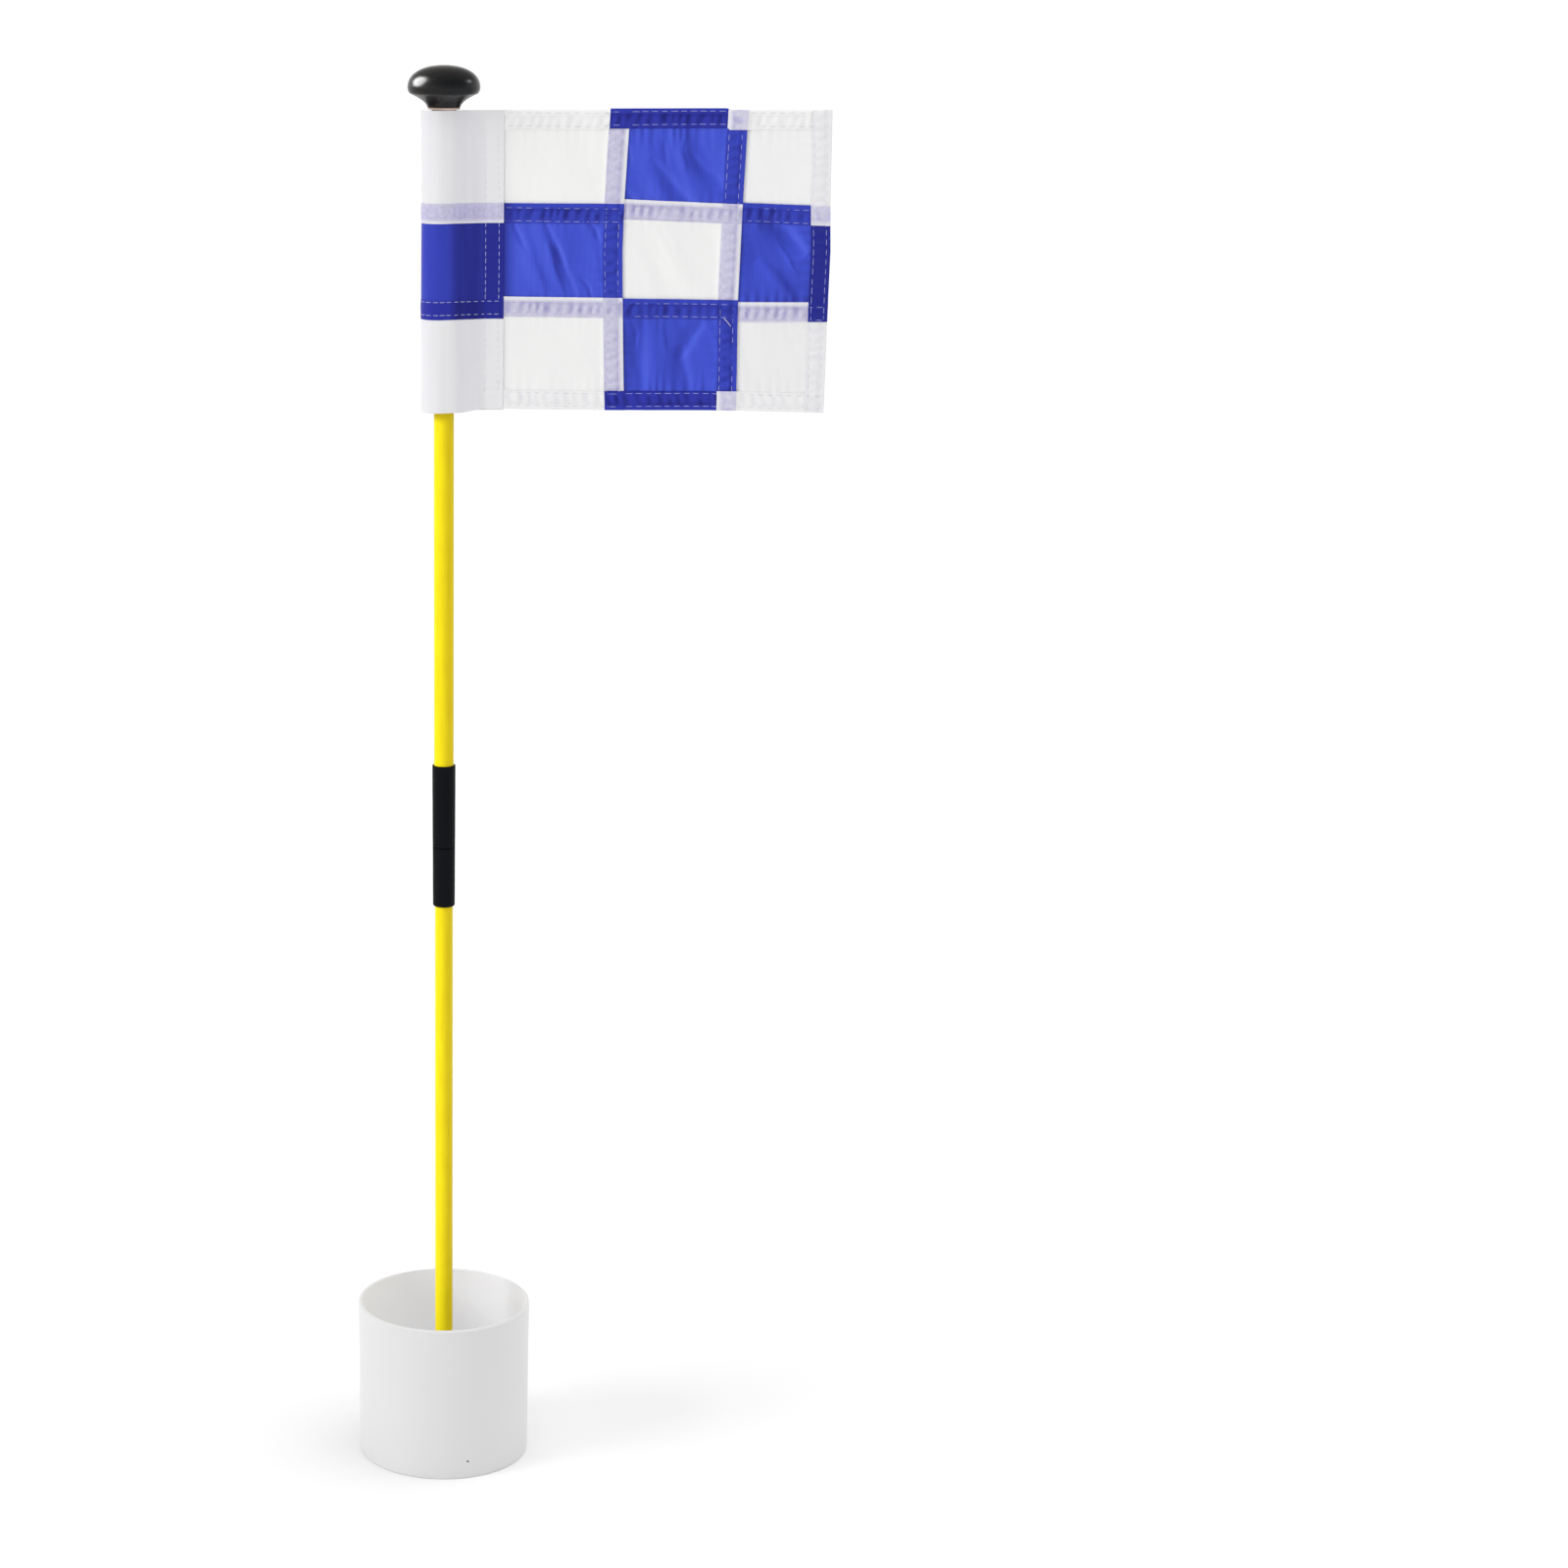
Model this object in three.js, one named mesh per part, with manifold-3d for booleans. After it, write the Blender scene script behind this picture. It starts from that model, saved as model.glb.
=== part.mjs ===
// A small two-piece golf flagstick in its practice cup: a moulded cup with a central socket, a
// yellow fibreglass rod that screws together under a black sleeve at mid height, a chequered flag
// sewn from twelve patches round a plastic tube, and a black knob that screws into the rod's top.
// Millimetres, +Z up. The origin is the centre of the cup's underside, on the rod's axis, and the
// flag flies towards +X.

import * as THREE from 'three';
import { mergeVertices } from 'three/addons/utils/BufferGeometryUtils.js';
import Module from 'manifold-3d';

const wasm = await Module();
wasm.setup();

// ---------------------------------------------------------------- driving dimensions

const CUP_HEIGHT = 99;
const CUP_TOP_RADIUS = 54;        // the 108 mm hole of the game
const CUP_BASE_RADIUS = 53.1;     // moulding draft
const CUP_WALL = 2.2;
const CUP_FLOOR_BOTTOM = 18;
const CUP_FLOOR_TOP = 20.4;
const CUP_RIM_ROUND = 1.5;
const SOCKET_RADIUS = 9.2;
const SOCKET_TOP = 36;
const SOCKET_FLOOR = 2.6;
const RIB_COUNT = 6;
const RIB_THICKNESS = 2;
const DRAIN_RADIUS = 3.5;
const DRAIN_CIRCLE = 31;
const SIDE_HOLE_RADIUS = 0.9;
const SIDE_HOLE_HEIGHT = 11;
const SIDE_HOLE_ANGLE = -76.4;    // degrees from +X, just right of the front

const UPPER_ROD_RADIUS = 6;
const UPPER_ROD_BORE = 4.3;
const LOWER_ROD_RADIUS = 5.5;
const LOWER_ROD_BORE = 3.8;
const ROD_TOP = 838;
const FIT = 0.2;                  // gap left between pieces that touch

const TIP_RADIUS = 6;
const TIP_BOTTOM = SOCKET_FLOOR + FIT;
const TIP_LENGTH = 40;
const TIP_FLOOR = 5;

const JOINT_PLANE = 395.2;        // where the two sections part
const SLEEVE_BOTTOM = 357.8;
const SLEEVE_TOP = 446.7;
const SLEEVE_BOTTOM_RADIUS = 6.75;
const SLEEVE_TOP_RADIUS = 7.1;
const THREAD_RADIUS = 3;          // M6
const TAPPED_RADIUS = 3.3;
const STUD_THREAD = 18;           // length of thread that stands above the joint
const THREAD_RUNOUT = 2;          // tapped depth beyond the thread's end
const SEAL_SECTION = 0.8;
const SEAL_RADIUS = 4.2;
const STUD_SHANK = 35;
const SOCKET_LENGTH = 46;
const INSERT_LENGTH = 16;
const INSERT_FLOOR = 3;
const EDGE_BREAK = 0.8;           // chamfer on the brass pieces
const LEAD_IN = 0.4;              // countersink of the tapped holes
const DRILL_POINT = 1.5;          // depth of the cone at the end of a tapped hole

const FLAG_TOP = 839.8;
const FLAG_BOTTOM = 663;
const FLAG_FLY = 226.7;
const FLAG_LEFT = -13.4;
const ROW_SEAMS = [780.2, 724];   // middle of each seam, from the top down
const COLUMN_SEAMS = [30, 100.2, 169.6];
const SEAM_GAP = 0.3;
const CLOTH = 1;
const SLEEVE_CLOTH = 0.7;
const SLEEVE_RADIUS = 9.8;
const SLEEVE_END = 26;            // where the two layers of the sleeve meet
const SLEEVE_LEAN = Math.asin(SLEEVE_RADIUS / (SLEEVE_END - FLAG_LEFT - SLEEVE_RADIUS));

const TUBE_RADIUS = 7.5;
const TUBE_BORE = 6.4;
const TUBE_BOTTOM = 667;
const TUBE_CAP = 1.7;
const TUBE_TOP = ROD_TOP + FIT + TUBE_CAP;

const WASHER_RADIUS = 9.4;
const WASHER_THICKNESS = 1;
const WASHER_BOTTOM = TUBE_TOP + FIT;

const KNOB_BOTTOM = WASHER_BOTTOM + WASHER_THICKNESS + FIT;
const KNOB_HEIGHT = 24.2;
const KNOB_RADIUS = 21.3;
const KNOB_NECK = 9.75;
const KNOB_WIDEST = 11.4;         // height of the widest ring above the knob's foot
const KNOB_STUD_BOTTOM = 827.5;
const KNOB_STUD_LENGTH = 25;

// ---------------------------------------------------------------- materials

const COLOURS = {
  cup: 0xecece8, yellow: 0xf5d90c, rubber: 0x141516, brass: 0xb5924c, steel: 0x9a9ca0,
  seal: 0x0c0c0d, tube: 0xe9e6dc, washer: 0xcfa27c, gloss: 0x070908, white: 0xf2f2f4,
  blue: 0x2f3fc0, tip: 0x18191a,
};

function material(colour, roughness, metalness = 0) {
  return new THREE.MeshStandardMaterial({ color: COLOURS[colour], roughness, metalness });
}

// ---------------------------------------------------------------- geometry helpers

// Turns [radius, height] points round the Z axis. A profile either starts and ends on the axis or
// is closed by repeating its first point; it runs outwards along the bottom and up the outside.
function turned(profile, segments = 40) {
  const points = profile.map(([radius, height]) => new THREE.Vector2(radius, height));
  return new THREE.LatheGeometry(points, segments).rotateX(Math.PI / 2);
}

// A ring with a plain rectangular section, with small chamfers on its outer edges.
function ring(inner, outer, height, chamfer = 0, segments = 40) {
  return turned([
    [inner, 0],
    [outer - chamfer, 0],
    [outer, chamfer],
    [outer, height - chamfer],
    [outer - chamfer, height],
    [inner, height],
    [inner, 0],
  ].filter((point, i, all) => i === 0 || point.join() !== all[i - 1].join()), segments);
}

// Points of a circle's or ellipse's arc about a centre, from one angle to another in degrees.
function arc(centreRadius, centreHeight, radius, height, from, to, steps) {
  const points = [];
  for (let i = 0; i <= steps; i += 1) {
    const angle = THREE.MathUtils.degToRad(from + ((to - from) * i) / steps);
    points.push([centreRadius + radius * Math.cos(angle), centreHeight + height * Math.sin(angle)]);
  }
  return points;
}

function toSolid(geometry) {
  const plain = geometry.clone();
  plain.deleteAttribute('normal');
  plain.deleteAttribute('uv');
  const merged = mergeVertices(plain, 1e-4);
  const index = merged.index.array;
  const triangles = [];
  for (let i = 0; i < index.length; i += 3) {
    const [a, b, c] = [index[i], index[i + 1], index[i + 2]];
    if (a !== b && b !== c && c !== a) triangles.push(a, b, c);
  }
  return new wasm.Manifold(new wasm.Mesh({
    numProp: 3,
    vertProperties: new Float32Array(merged.attributes.position.array),
    triVerts: new Uint32Array(triangles),
  }));
}

function toGeometry(solid) {
  const mesh = solid.getMesh();
  const geometry = new THREE.BufferGeometry();
  geometry.setAttribute('position', new THREE.BufferAttribute(mesh.vertProperties, 3));
  geometry.setIndex(new THREE.BufferAttribute(mesh.triVerts, 1));
  return geometry;
}

function piece(name, geometry, look, height = 0) {
  const mesh = new THREE.Mesh(geometry, look);
  mesh.name = name;
  mesh.position.z = height;
  return mesh;
}

// ---------------------------------------------------------------- cup

function cupTurning() {
  const inner = CUP_TOP_RADIUS - CUP_WALL;
  const baseInner = CUP_BASE_RADIUS - CUP_WALL;
  const rimCentre = CUP_TOP_RADIUS - CUP_RIM_ROUND;
  const shoulder = CUP_HEIGHT - CUP_RIM_ROUND;
  return turned([
    [0, 0],
    [SOCKET_RADIUS, 0],
    [SOCKET_RADIUS, CUP_FLOOR_BOTTOM],
    [baseInner, CUP_FLOOR_BOTTOM],
    [baseInner, 0],
    [CUP_BASE_RADIUS - 0.6, 0],
    [CUP_BASE_RADIUS, 0.6],
    ...arc(rimCentre, shoulder, CUP_RIM_ROUND, CUP_RIM_ROUND, 0, 90, 4),
    [inner, CUP_HEIGHT],
    [baseInner, CUP_FLOOR_TOP],
    [SOCKET_RADIUS, CUP_FLOOR_TOP],
    [SOCKET_RADIUS, SOCKET_TOP - 0.6],
    [SOCKET_RADIUS - 0.6, SOCKET_TOP],
    [TIP_RADIUS + 0.9, SOCKET_TOP],
    [TIP_RADIUS + 0.3, SOCKET_TOP - 0.8],
    [TIP_RADIUS + 0.3, SOCKET_FLOOR],
    [0, SOCKET_FLOOR],
  ], 64);
}

function cup() {
  let solid = toSolid(cupTurning());
  const ribLength = CUP_BASE_RADIUS - CUP_WALL / 2 - SOCKET_RADIUS + 1;
  const ribHeight = CUP_FLOOR_BOTTOM;
  for (let i = 0; i < RIB_COUNT; i += 1) {
    const turn = (i * 2 * Math.PI) / RIB_COUNT;
    const rib = new THREE.BoxGeometry(ribLength, RIB_THICKNESS, ribHeight);
    rib.translate(SOCKET_RADIUS - 1 + ribLength / 2, 0, ribHeight / 2 + 1);
    solid = solid.add(toSolid(rib.rotateZ(turn)));
    const drain = new THREE.CylinderGeometry(DRAIN_RADIUS, DRAIN_RADIUS, 12, 20);
    drain.rotateX(Math.PI / 2);
    drain.translate(DRAIN_CIRCLE, 0, CUP_FLOOR_BOTTOM);
    solid = solid.subtract(toSolid(drain.rotateZ(turn + Math.PI / RIB_COUNT)));
  }
  const hole = new THREE.CylinderGeometry(SIDE_HOLE_RADIUS, SIDE_HOLE_RADIUS, 8, 12);
  hole.rotateZ(Math.PI / 2);
  hole.translate(CUP_BASE_RADIUS, 0, SIDE_HOLE_HEIGHT);
  hole.rotateZ(THREE.MathUtils.degToRad(SIDE_HOLE_ANGLE));
  solid = solid.subtract(toSolid(hole));
  return piece('cup', toGeometry(solid), material('cup', 0.35));
}

// ---------------------------------------------------------------- lower section

function rodTip() {
  const geometry = turned([
    [0, 0],
    [TIP_RADIUS - 1.2, 0],
    [TIP_RADIUS, 1.2],
    [TIP_RADIUS, TIP_LENGTH - 0.5],
    [TIP_RADIUS - 0.2, TIP_LENGTH],
    [LOWER_ROD_RADIUS + FIT, TIP_LENGTH],
    [LOWER_ROD_RADIUS + FIT, TIP_FLOOR],
    [0, TIP_FLOOR],
  ]);
  return piece('rod_tip', geometry, material('tip', 0.5), TIP_BOTTOM);
}

const COLLAR_BOTTOM = JOINT_PLANE - 10;
const COLLAR_TOP = JOINT_PLANE - 1.5;

function lowerRod() {
  const bottom = TIP_BOTTOM + TIP_FLOOR + FIT;
  const length = COLLAR_BOTTOM - FIT - bottom;
  return piece('lower_rod', ring(LOWER_ROD_BORE, LOWER_ROD_RADIUS, length), material('yellow', 0.4), bottom);
}

function jointStud() {
  const shank = LOWER_ROD_BORE - FIT;
  const collar = LOWER_ROD_RADIUS - 0.1;
  const collarEnd = STUD_SHANK + COLLAR_TOP - COLLAR_BOTTOM;
  const threadEnd = collarEnd + STUD_THREAD;
  const geometry = turned([
    [0, 0],
    [shank - EDGE_BREAK, 0],
    [shank, EDGE_BREAK],
    [shank, STUD_SHANK],
    [collar, STUD_SHANK],
    [collar, collarEnd],
    [THREAD_RADIUS, collarEnd],
    [THREAD_RADIUS, threadEnd - EDGE_BREAK],
    [THREAD_RADIUS - EDGE_BREAK, threadEnd],
    [0, threadEnd],
  ]);
  return piece('joint_stud', geometry, material('brass', 0.35, 1), COLLAR_BOTTOM - STUD_SHANK);
}

// Outer radius of the tapered black sleeve at a height.
function sleeveRadius(height) {
  const share = (height - SLEEVE_BOTTOM) / (SLEEVE_TOP - SLEEVE_BOTTOM);
  return THREE.MathUtils.lerp(SLEEVE_BOTTOM_RADIUS, SLEEVE_TOP_RADIUS, share);
}

// One half of the black sleeve, with its own rounding at each end.
function jointSleeve(bottom, top, bore, bottomRound, topRound) {
  const low = sleeveRadius(bottom);
  const high = sleeveRadius(top);
  const length = top - bottom;
  return turned([
    [bore, 0],
    ...arc(low - bottomRound, bottomRound, bottomRound, bottomRound, -90, 0, 3),
    ...arc(high - topRound, length - topRound, topRound, topRound, 0, 90, 3),
    [bore, length],
    [bore, 0],
  ]);
}

function jointSleeveLower() {
  const geometry = jointSleeve(SLEEVE_BOTTOM, JOINT_PLANE - 0.2, LOWER_ROD_RADIUS + FIT, 0.9, 0.3);
  return piece('joint_sleeve_lower', geometry, material('rubber', 0.55), SLEEVE_BOTTOM);
}

// ---------------------------------------------------------------- seal between the two sections

function jointSeal() {
  const circle = arc(SEAL_RADIUS, 0, SEAL_SECTION, SEAL_SECTION, -90, 270, 10);
  circle[circle.length - 1] = circle[0];
  return piece('joint_seal', turned(circle, 32), material('seal', 0.6), COLLAR_TOP + SEAL_SECTION + 0.02);
}

// ---------------------------------------------------------------- upper section

const FLANGE_BOTTOM = JOINT_PLANE + 0.3;
const FLANGE_HEIGHT = 3.5;

function jointSocket() {
  const shank = UPPER_ROD_BORE - FIT;
  const flange = UPPER_ROD_RADIUS - 0.3;
  const depth = STUD_THREAD + THREAD_RUNOUT;
  const geometry = turned([
    [TAPPED_RADIUS + LEAD_IN, 0],
    [flange, 0],
    [flange, FLANGE_HEIGHT],
    [shank, FLANGE_HEIGHT],
    [shank, SOCKET_LENGTH - EDGE_BREAK],
    [shank - EDGE_BREAK, SOCKET_LENGTH],
    [0, SOCKET_LENGTH],
    [0, depth + DRILL_POINT],
    [TAPPED_RADIUS, depth],
    [TAPPED_RADIUS, LEAD_IN],
    [TAPPED_RADIUS + LEAD_IN, 0],
  ]);
  return piece('joint_socket', geometry, material('brass', 0.35, 1), FLANGE_BOTTOM);
}

function upperRod() {
  const bottom = FLANGE_BOTTOM + FLANGE_HEIGHT + FIT;
  const geometry = ring(UPPER_ROD_BORE, UPPER_ROD_RADIUS, ROD_TOP - bottom);
  return piece('upper_rod', geometry, material('yellow', 0.4), bottom);
}

function jointSleeveUpper() {
  const bottom = JOINT_PLANE + 0.2;
  const geometry = jointSleeve(bottom, SLEEVE_TOP, UPPER_ROD_RADIUS + FIT, 0.3, 0.5);
  return piece('joint_sleeve_upper', geometry, material('rubber', 0.55), bottom);
}

function topInsert() {
  const outer = UPPER_ROD_BORE - FIT;
  const geometry = turned([
    [0, 0],
    [outer - EDGE_BREAK, 0],
    [outer, EDGE_BREAK],
    [outer, INSERT_LENGTH],
    [TAPPED_RADIUS + LEAD_IN, INSERT_LENGTH],
    [TAPPED_RADIUS, INSERT_LENGTH - LEAD_IN],
    [TAPPED_RADIUS, INSERT_FLOOR],
    [0, INSERT_FLOOR - DRILL_POINT],
  ]);
  return piece('top_insert', geometry, material('brass', 0.35, 1), ROD_TOP - INSERT_LENGTH);
}

// ---------------------------------------------------------------- flag

function flagTube() {
  const length = TUBE_TOP - TUBE_BOTTOM;
  const geometry = turned([
    [TUBE_BORE, 0],
    [TUBE_RADIUS, 0],
    [TUBE_RADIUS, length - 0.5],
    [TUBE_RADIUS - 0.5, length],
    [TAPPED_RADIUS + 0.3, length],
    [TAPPED_RADIUS + 0.3, length - TUBE_CAP],
    [TUBE_BORE, length - TUBE_CAP],
    [TUBE_BORE, 0],
  ]);
  return piece('flag_tube', geometry, material('tube', 0.45), TUBE_BOTTOM);
}

// A loop of the sleeve's section: a circle on the hoist side drawn out to a point on the fly side.
function sleeveLoop(inset) {
  const radius = SLEEVE_RADIUS - inset;
  const centre = FLAG_LEFT + SLEEVE_RADIUS;
  const start = 90 - THREE.MathUtils.radToDeg(SLEEVE_LEAN);
  const points = arc(centre, 0, radius, radius, start, 360 - start, 22);
  return points.map(([x, y]) => new THREE.Vector2(x, y));
}

function sleevePatch(name, colour, bottom, top) {
  const tail = CLOTH / 2;
  const tailStart = SLEEVE_END - 1.5;
  const tailEnd = COLUMN_SEAMS[0] - SEAM_GAP / 2;
  const shape = new THREE.Shape([
    ...sleeveLoop(0),
    new THREE.Vector2(tailStart, -tail),
    new THREE.Vector2(tailEnd, -tail),
    new THREE.Vector2(tailEnd, tail),
    new THREE.Vector2(tailStart, tail),
  ]);
  const innerEnd = SLEEVE_END - SLEEVE_CLOTH / Math.sin(SLEEVE_LEAN);
  shape.holes.push(new THREE.Path([...sleeveLoop(SLEEVE_CLOTH), new THREE.Vector2(innerEnd, 0)]));
  const geometry = new THREE.ExtrudeGeometry(shape, { depth: top - bottom, bevelEnabled: false });
  return piece(name, geometry, material(colour, 0.7), bottom);
}

function flyPatch(name, colour, left, right, bottom, top) {
  const geometry = new THREE.BoxGeometry(right - left, CLOTH, top - bottom);
  geometry.translate((left + right) / 2, 0, (top - bottom) / 2);
  return piece(name, geometry, material(colour, 0.7), bottom);
}

// Twelve patches in three rows and four columns; the first column is the sleeve.
function flagCloth() {
  const rows = [FLAG_TOP, ...ROW_SEAMS, FLAG_BOTTOM];
  const columns = [FLAG_LEFT, ...COLUMN_SEAMS, FLAG_FLY];
  const rowNames = ['top', 'middle', 'bottom'];
  const gap = SEAM_GAP / 2;
  const cloth = new THREE.Group();
  rowNames.forEach((rowName, row) => {
    const top = rows[row] - (row === 0 ? 0 : gap);
    const bottom = rows[row + 1] + (row === rowNames.length - 1 ? 0 : gap);
    const sleeveColour = row === 1 ? 'blue' : 'white';
    cloth.add(sleevePatch(`flag_sleeve_${rowName}`, sleeveColour, bottom, top));
    for (let column = 1; column < columns.length - 1; column += 1) {
      const isBlue = (row === 1) !== (column === 2);
      const left = columns[column] + gap;
      const right = columns[column + 1] - (column === columns.length - 2 ? 0 : gap);
      const name = `flag_patch_${rowName}_${column}`;
      cloth.add(flyPatch(name, isBlue ? 'blue' : 'white', left, right, bottom, top));
    }
  });
  return cloth;
}

// ---------------------------------------------------------------- knob

function knobWasher() {
  const geometry = ring(TAPPED_RADIUS + 0.3, WASHER_RADIUS, WASHER_THICKNESS);
  return piece('knob_washer', geometry, material('washer', 0.8), WASHER_BOTTOM);
}

// The flare under the knob: a curve from the neck out to the underside of the rim.
function knobFlare(steps) {
  const flare = new THREE.QuadraticBezierCurve(
    new THREE.Vector2(KNOB_NECK, 0),
    new THREE.Vector2(KNOB_NECK + 0.45, 3.5),
    new THREE.Vector2(KNOB_RADIUS - 1.5, 7.8),
  );
  return flare.getPoints(steps).map((point) => [point.x, point.y]);
}

// The crown is a little fuller than an ellipse.
function knobCrown(steps) {
  const fullness = 2 / 2.2;
  const height = KNOB_HEIGHT - KNOB_WIDEST;
  const points = [];
  for (let i = 0; i < steps; i += 1) {
    const angle = (Math.PI / 2) * (i / steps);
    const across = Math.cos(angle) ** fullness;
    const up = Math.sin(angle) ** fullness;
    points.push([KNOB_RADIUS * across, KNOB_WIDEST + height * up]);
  }
  points.push([0, KNOB_HEIGHT]);
  return points;
}

function knob() {
  const bore = THREAD_RADIUS + FIT;
  const boreTop = KNOB_STUD_BOTTOM + KNOB_STUD_LENGTH - KNOB_BOTTOM + FIT;
  const geometry = turned([
    [0, boreTop],
    [bore, boreTop],
    [bore, 0],
    ...knobFlare(6),
    [KNOB_RADIUS - 0.55, 9],
    ...knobCrown(11),
  ], 48);
  return piece('knob', geometry, material('gloss', 0.12), KNOB_BOTTOM);
}

function knobStud() {
  const chamfer = 0.7;
  const geometry = turned([
    [0, 0],
    [THREAD_RADIUS - chamfer, 0],
    [THREAD_RADIUS, chamfer],
    [THREAD_RADIUS, KNOB_STUD_LENGTH],
    [0, KNOB_STUD_LENGTH],
  ], 32);
  return piece('knob_stud', geometry, material('steel', 0.3, 1), KNOB_STUD_BOTTOM);
}

// ---------------------------------------------------------------- assembly

function assembly(...pieces) {
  return new THREE.Group().add(...pieces);
}

export default assembly(
  cup(),
  assembly(rodTip(), lowerRod(), jointStud(), jointSleeveLower()),
  jointSeal(),
  assembly(jointSocket(), upperRod(), jointSleeveUpper(), topInsert()),
  assembly(flagTube(), flagCloth()),
  assembly(knobWasher(), knob(), knobStud()),
);
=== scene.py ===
import math

import bpy
import numpy as np
from mathutils import Matrix, Vector


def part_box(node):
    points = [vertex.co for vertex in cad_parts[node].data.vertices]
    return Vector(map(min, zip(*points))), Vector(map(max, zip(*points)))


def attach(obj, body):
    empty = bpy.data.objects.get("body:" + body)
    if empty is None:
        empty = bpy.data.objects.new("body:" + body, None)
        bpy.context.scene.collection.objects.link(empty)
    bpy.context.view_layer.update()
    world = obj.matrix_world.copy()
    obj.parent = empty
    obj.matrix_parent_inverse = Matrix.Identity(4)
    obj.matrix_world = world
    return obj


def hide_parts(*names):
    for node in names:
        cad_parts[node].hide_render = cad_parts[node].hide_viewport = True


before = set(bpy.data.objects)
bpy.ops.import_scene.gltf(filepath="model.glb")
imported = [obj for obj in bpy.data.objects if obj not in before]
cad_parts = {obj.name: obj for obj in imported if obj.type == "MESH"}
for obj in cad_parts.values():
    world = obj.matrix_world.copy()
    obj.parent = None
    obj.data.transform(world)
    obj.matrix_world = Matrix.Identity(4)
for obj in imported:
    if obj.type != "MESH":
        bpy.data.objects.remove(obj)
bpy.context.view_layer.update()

# Lengths in this file are in millimetres until a mesh is made.
MM = 0.001
ROUND = 160                   # segments round a turned piece


def box_mm(node):
    """A CAD node's lowest and highest corner."""
    low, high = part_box(node)
    return [value / MM for value in low], [value / MM for value in high]


# ------------------------------------------------------------------ number helpers


def smoothstep(low, high, value):
    share = np.clip((value - low) / (high - low), 0.0, 1.0)
    return share * share * (3 - 2 * share)


def lerp(low, high, share):
    return low + (high - low) * share


def lattice(i, j, seed):
    """A fixed random number from -1 to 1 for each whole-numbered point of a plane."""
    value = np.sin(i * 127.1 + j * 311.7 + seed * 74.7) * 43758.5453
    return 2 * (value - np.floor(value)) - 1


def noise(x, y, seed):
    """Smooth noise from -1 to 1 with features about one unit wide."""
    x, y = np.broadcast_arrays(np.asarray(x, float), np.asarray(y, float))
    i, j = np.floor(x), np.floor(y)
    s, t = smoothstep(0, 1, x - i), smoothstep(0, 1, y - j)
    low = lerp(lattice(i, j, seed), lattice(i + 1, j, seed), s)
    high = lerp(lattice(i, j + 1, seed), lattice(i + 1, j + 1, seed), s)
    return lerp(low, high, t)


# ------------------------------------------------------------------ materials


def add_node(tree, kind, inputs=None, **settings):
    """Adds a node. Each input is a value or the socket that feeds it."""
    node = tree.nodes.new(kind)
    for key, value in settings.items():
        setattr(node, key, value)
    for key, value in (inputs or {}).items():
        if isinstance(value, bpy.types.NodeSocket):
            tree.links.new(value, node.inputs[key])
        else:
            node.inputs[key].default_value = value
    return node


class Shader:
    """A Principled material and short ways to add nodes to it."""

    def __init__(self, name, colour, roughness, metallic=0.0, **sockets):
        self.material = bpy.data.materials.new(name)
        self.material.use_nodes = True
        self.tree = self.material.node_tree
        self.surface = self.tree.nodes["Principled BSDF"]
        self.surface.inputs["Base Color"].default_value = (*colour, 1)
        self.surface.inputs["Roughness"].default_value = roughness
        self.surface.inputs["Metallic"].default_value = metallic
        for socket, value in sockets.items():
            self.surface.inputs[socket.replace("_", " ")].default_value = value

    def add(self, kind, inputs=None, **settings):
        return add_node(self.tree, kind, inputs, **settings)

    def place(self, scale, uv=None):
        """Coordinates in metres on the piece, or on its cloth's flat pattern, times a scale."""
        if uv:
            source = self.add("ShaderNodeUVMap", uv_map=uv).outputs["UV"]
        else:
            source = self.add("ShaderNodeTexCoord").outputs["Object"]
        return self.add("ShaderNodeMapping", {"Vector": source, "Scale": scale}).outputs["Vector"]

    def grain(self, scale, detail=3.0, uv=None):
        return self.add("ShaderNodeTexNoise", {
            "Vector": self.place(scale, uv), "Scale": 1.0, "Detail": detail,
        }).outputs["Fac"]

    def spread(self, value, low=0.0, high=1.0):
        """A value from 0.3 to 0.7, as noise gives, spread over low to high."""
        return self.add("ShaderNodeMapRange", {
            "Value": value, "From Min": 0.3, "From Max": 0.7, "To Min": low, "To Max": high,
        }).outputs["Result"]

    def attribute(self, name):
        return self.add("ShaderNodeAttribute", attribute_name=name).outputs["Fac"]

    def math(self, operation, a, b):
        return self.add("ShaderNodeMath", {0: a, 1: b}, operation=operation).outputs["Value"]

    def mix(self, share, a, b, blend="MIX"):
        a, b = (v if isinstance(v, bpy.types.NodeSocket) else (*v, 1) for v in (a, b))
        node = self.add("ShaderNodeMix", {0: share, 6: a, 7: b}, data_type="RGBA", blend_type=blend)
        return node.outputs[2]

    def bump(self, height, depth, strength=1.0, after=None):
        inputs = {"Height": height, "Distance": depth, "Strength": strength}
        if after:
            inputs["Normal"] = after
        return self.add("ShaderNodeBump", inputs).outputs["Normal"]

    def finish(self, colour=None, roughness=None, normal=None):
        for socket, value in (("Base Color", colour), ("Roughness", roughness), ("Normal", normal)):
            if value is not None:
                self.tree.links.new(value, self.surface.inputs[socket])
        return self.material


def moulded(name, colour, roughness, tint, grain_size=0.6, inner=None):
    """Moulded plastic: a fine skin, faint flow marks and slightly uneven gloss. Where the mesh's
    attribute inner is 1, it takes the inner colour, a paler colour that is painted light inside the
    cup, where its walls would leave it in shade."""
    shader = Shader(name, colour, roughness, Specular_IOR_Level=0.45)
    flow = shader.grain((14, 14, 9), 4.0)
    skin = shader.grain((1 / (grain_size * MM),) * 3, 2.0)
    toned = shader.mix(shader.spread(flow), colour, tint)
    # Painted light: the cup's inside is paler than its shade would leave it.
    if inner:
        toned = shader.mix(shader.attribute("inner"), toned, inner)
    gloss = shader.spread(flow, roughness - 0.05, roughness + 0.08)
    return shader.finish(toned, gloss, shader.bump(skin, 0.012 * MM))


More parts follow.
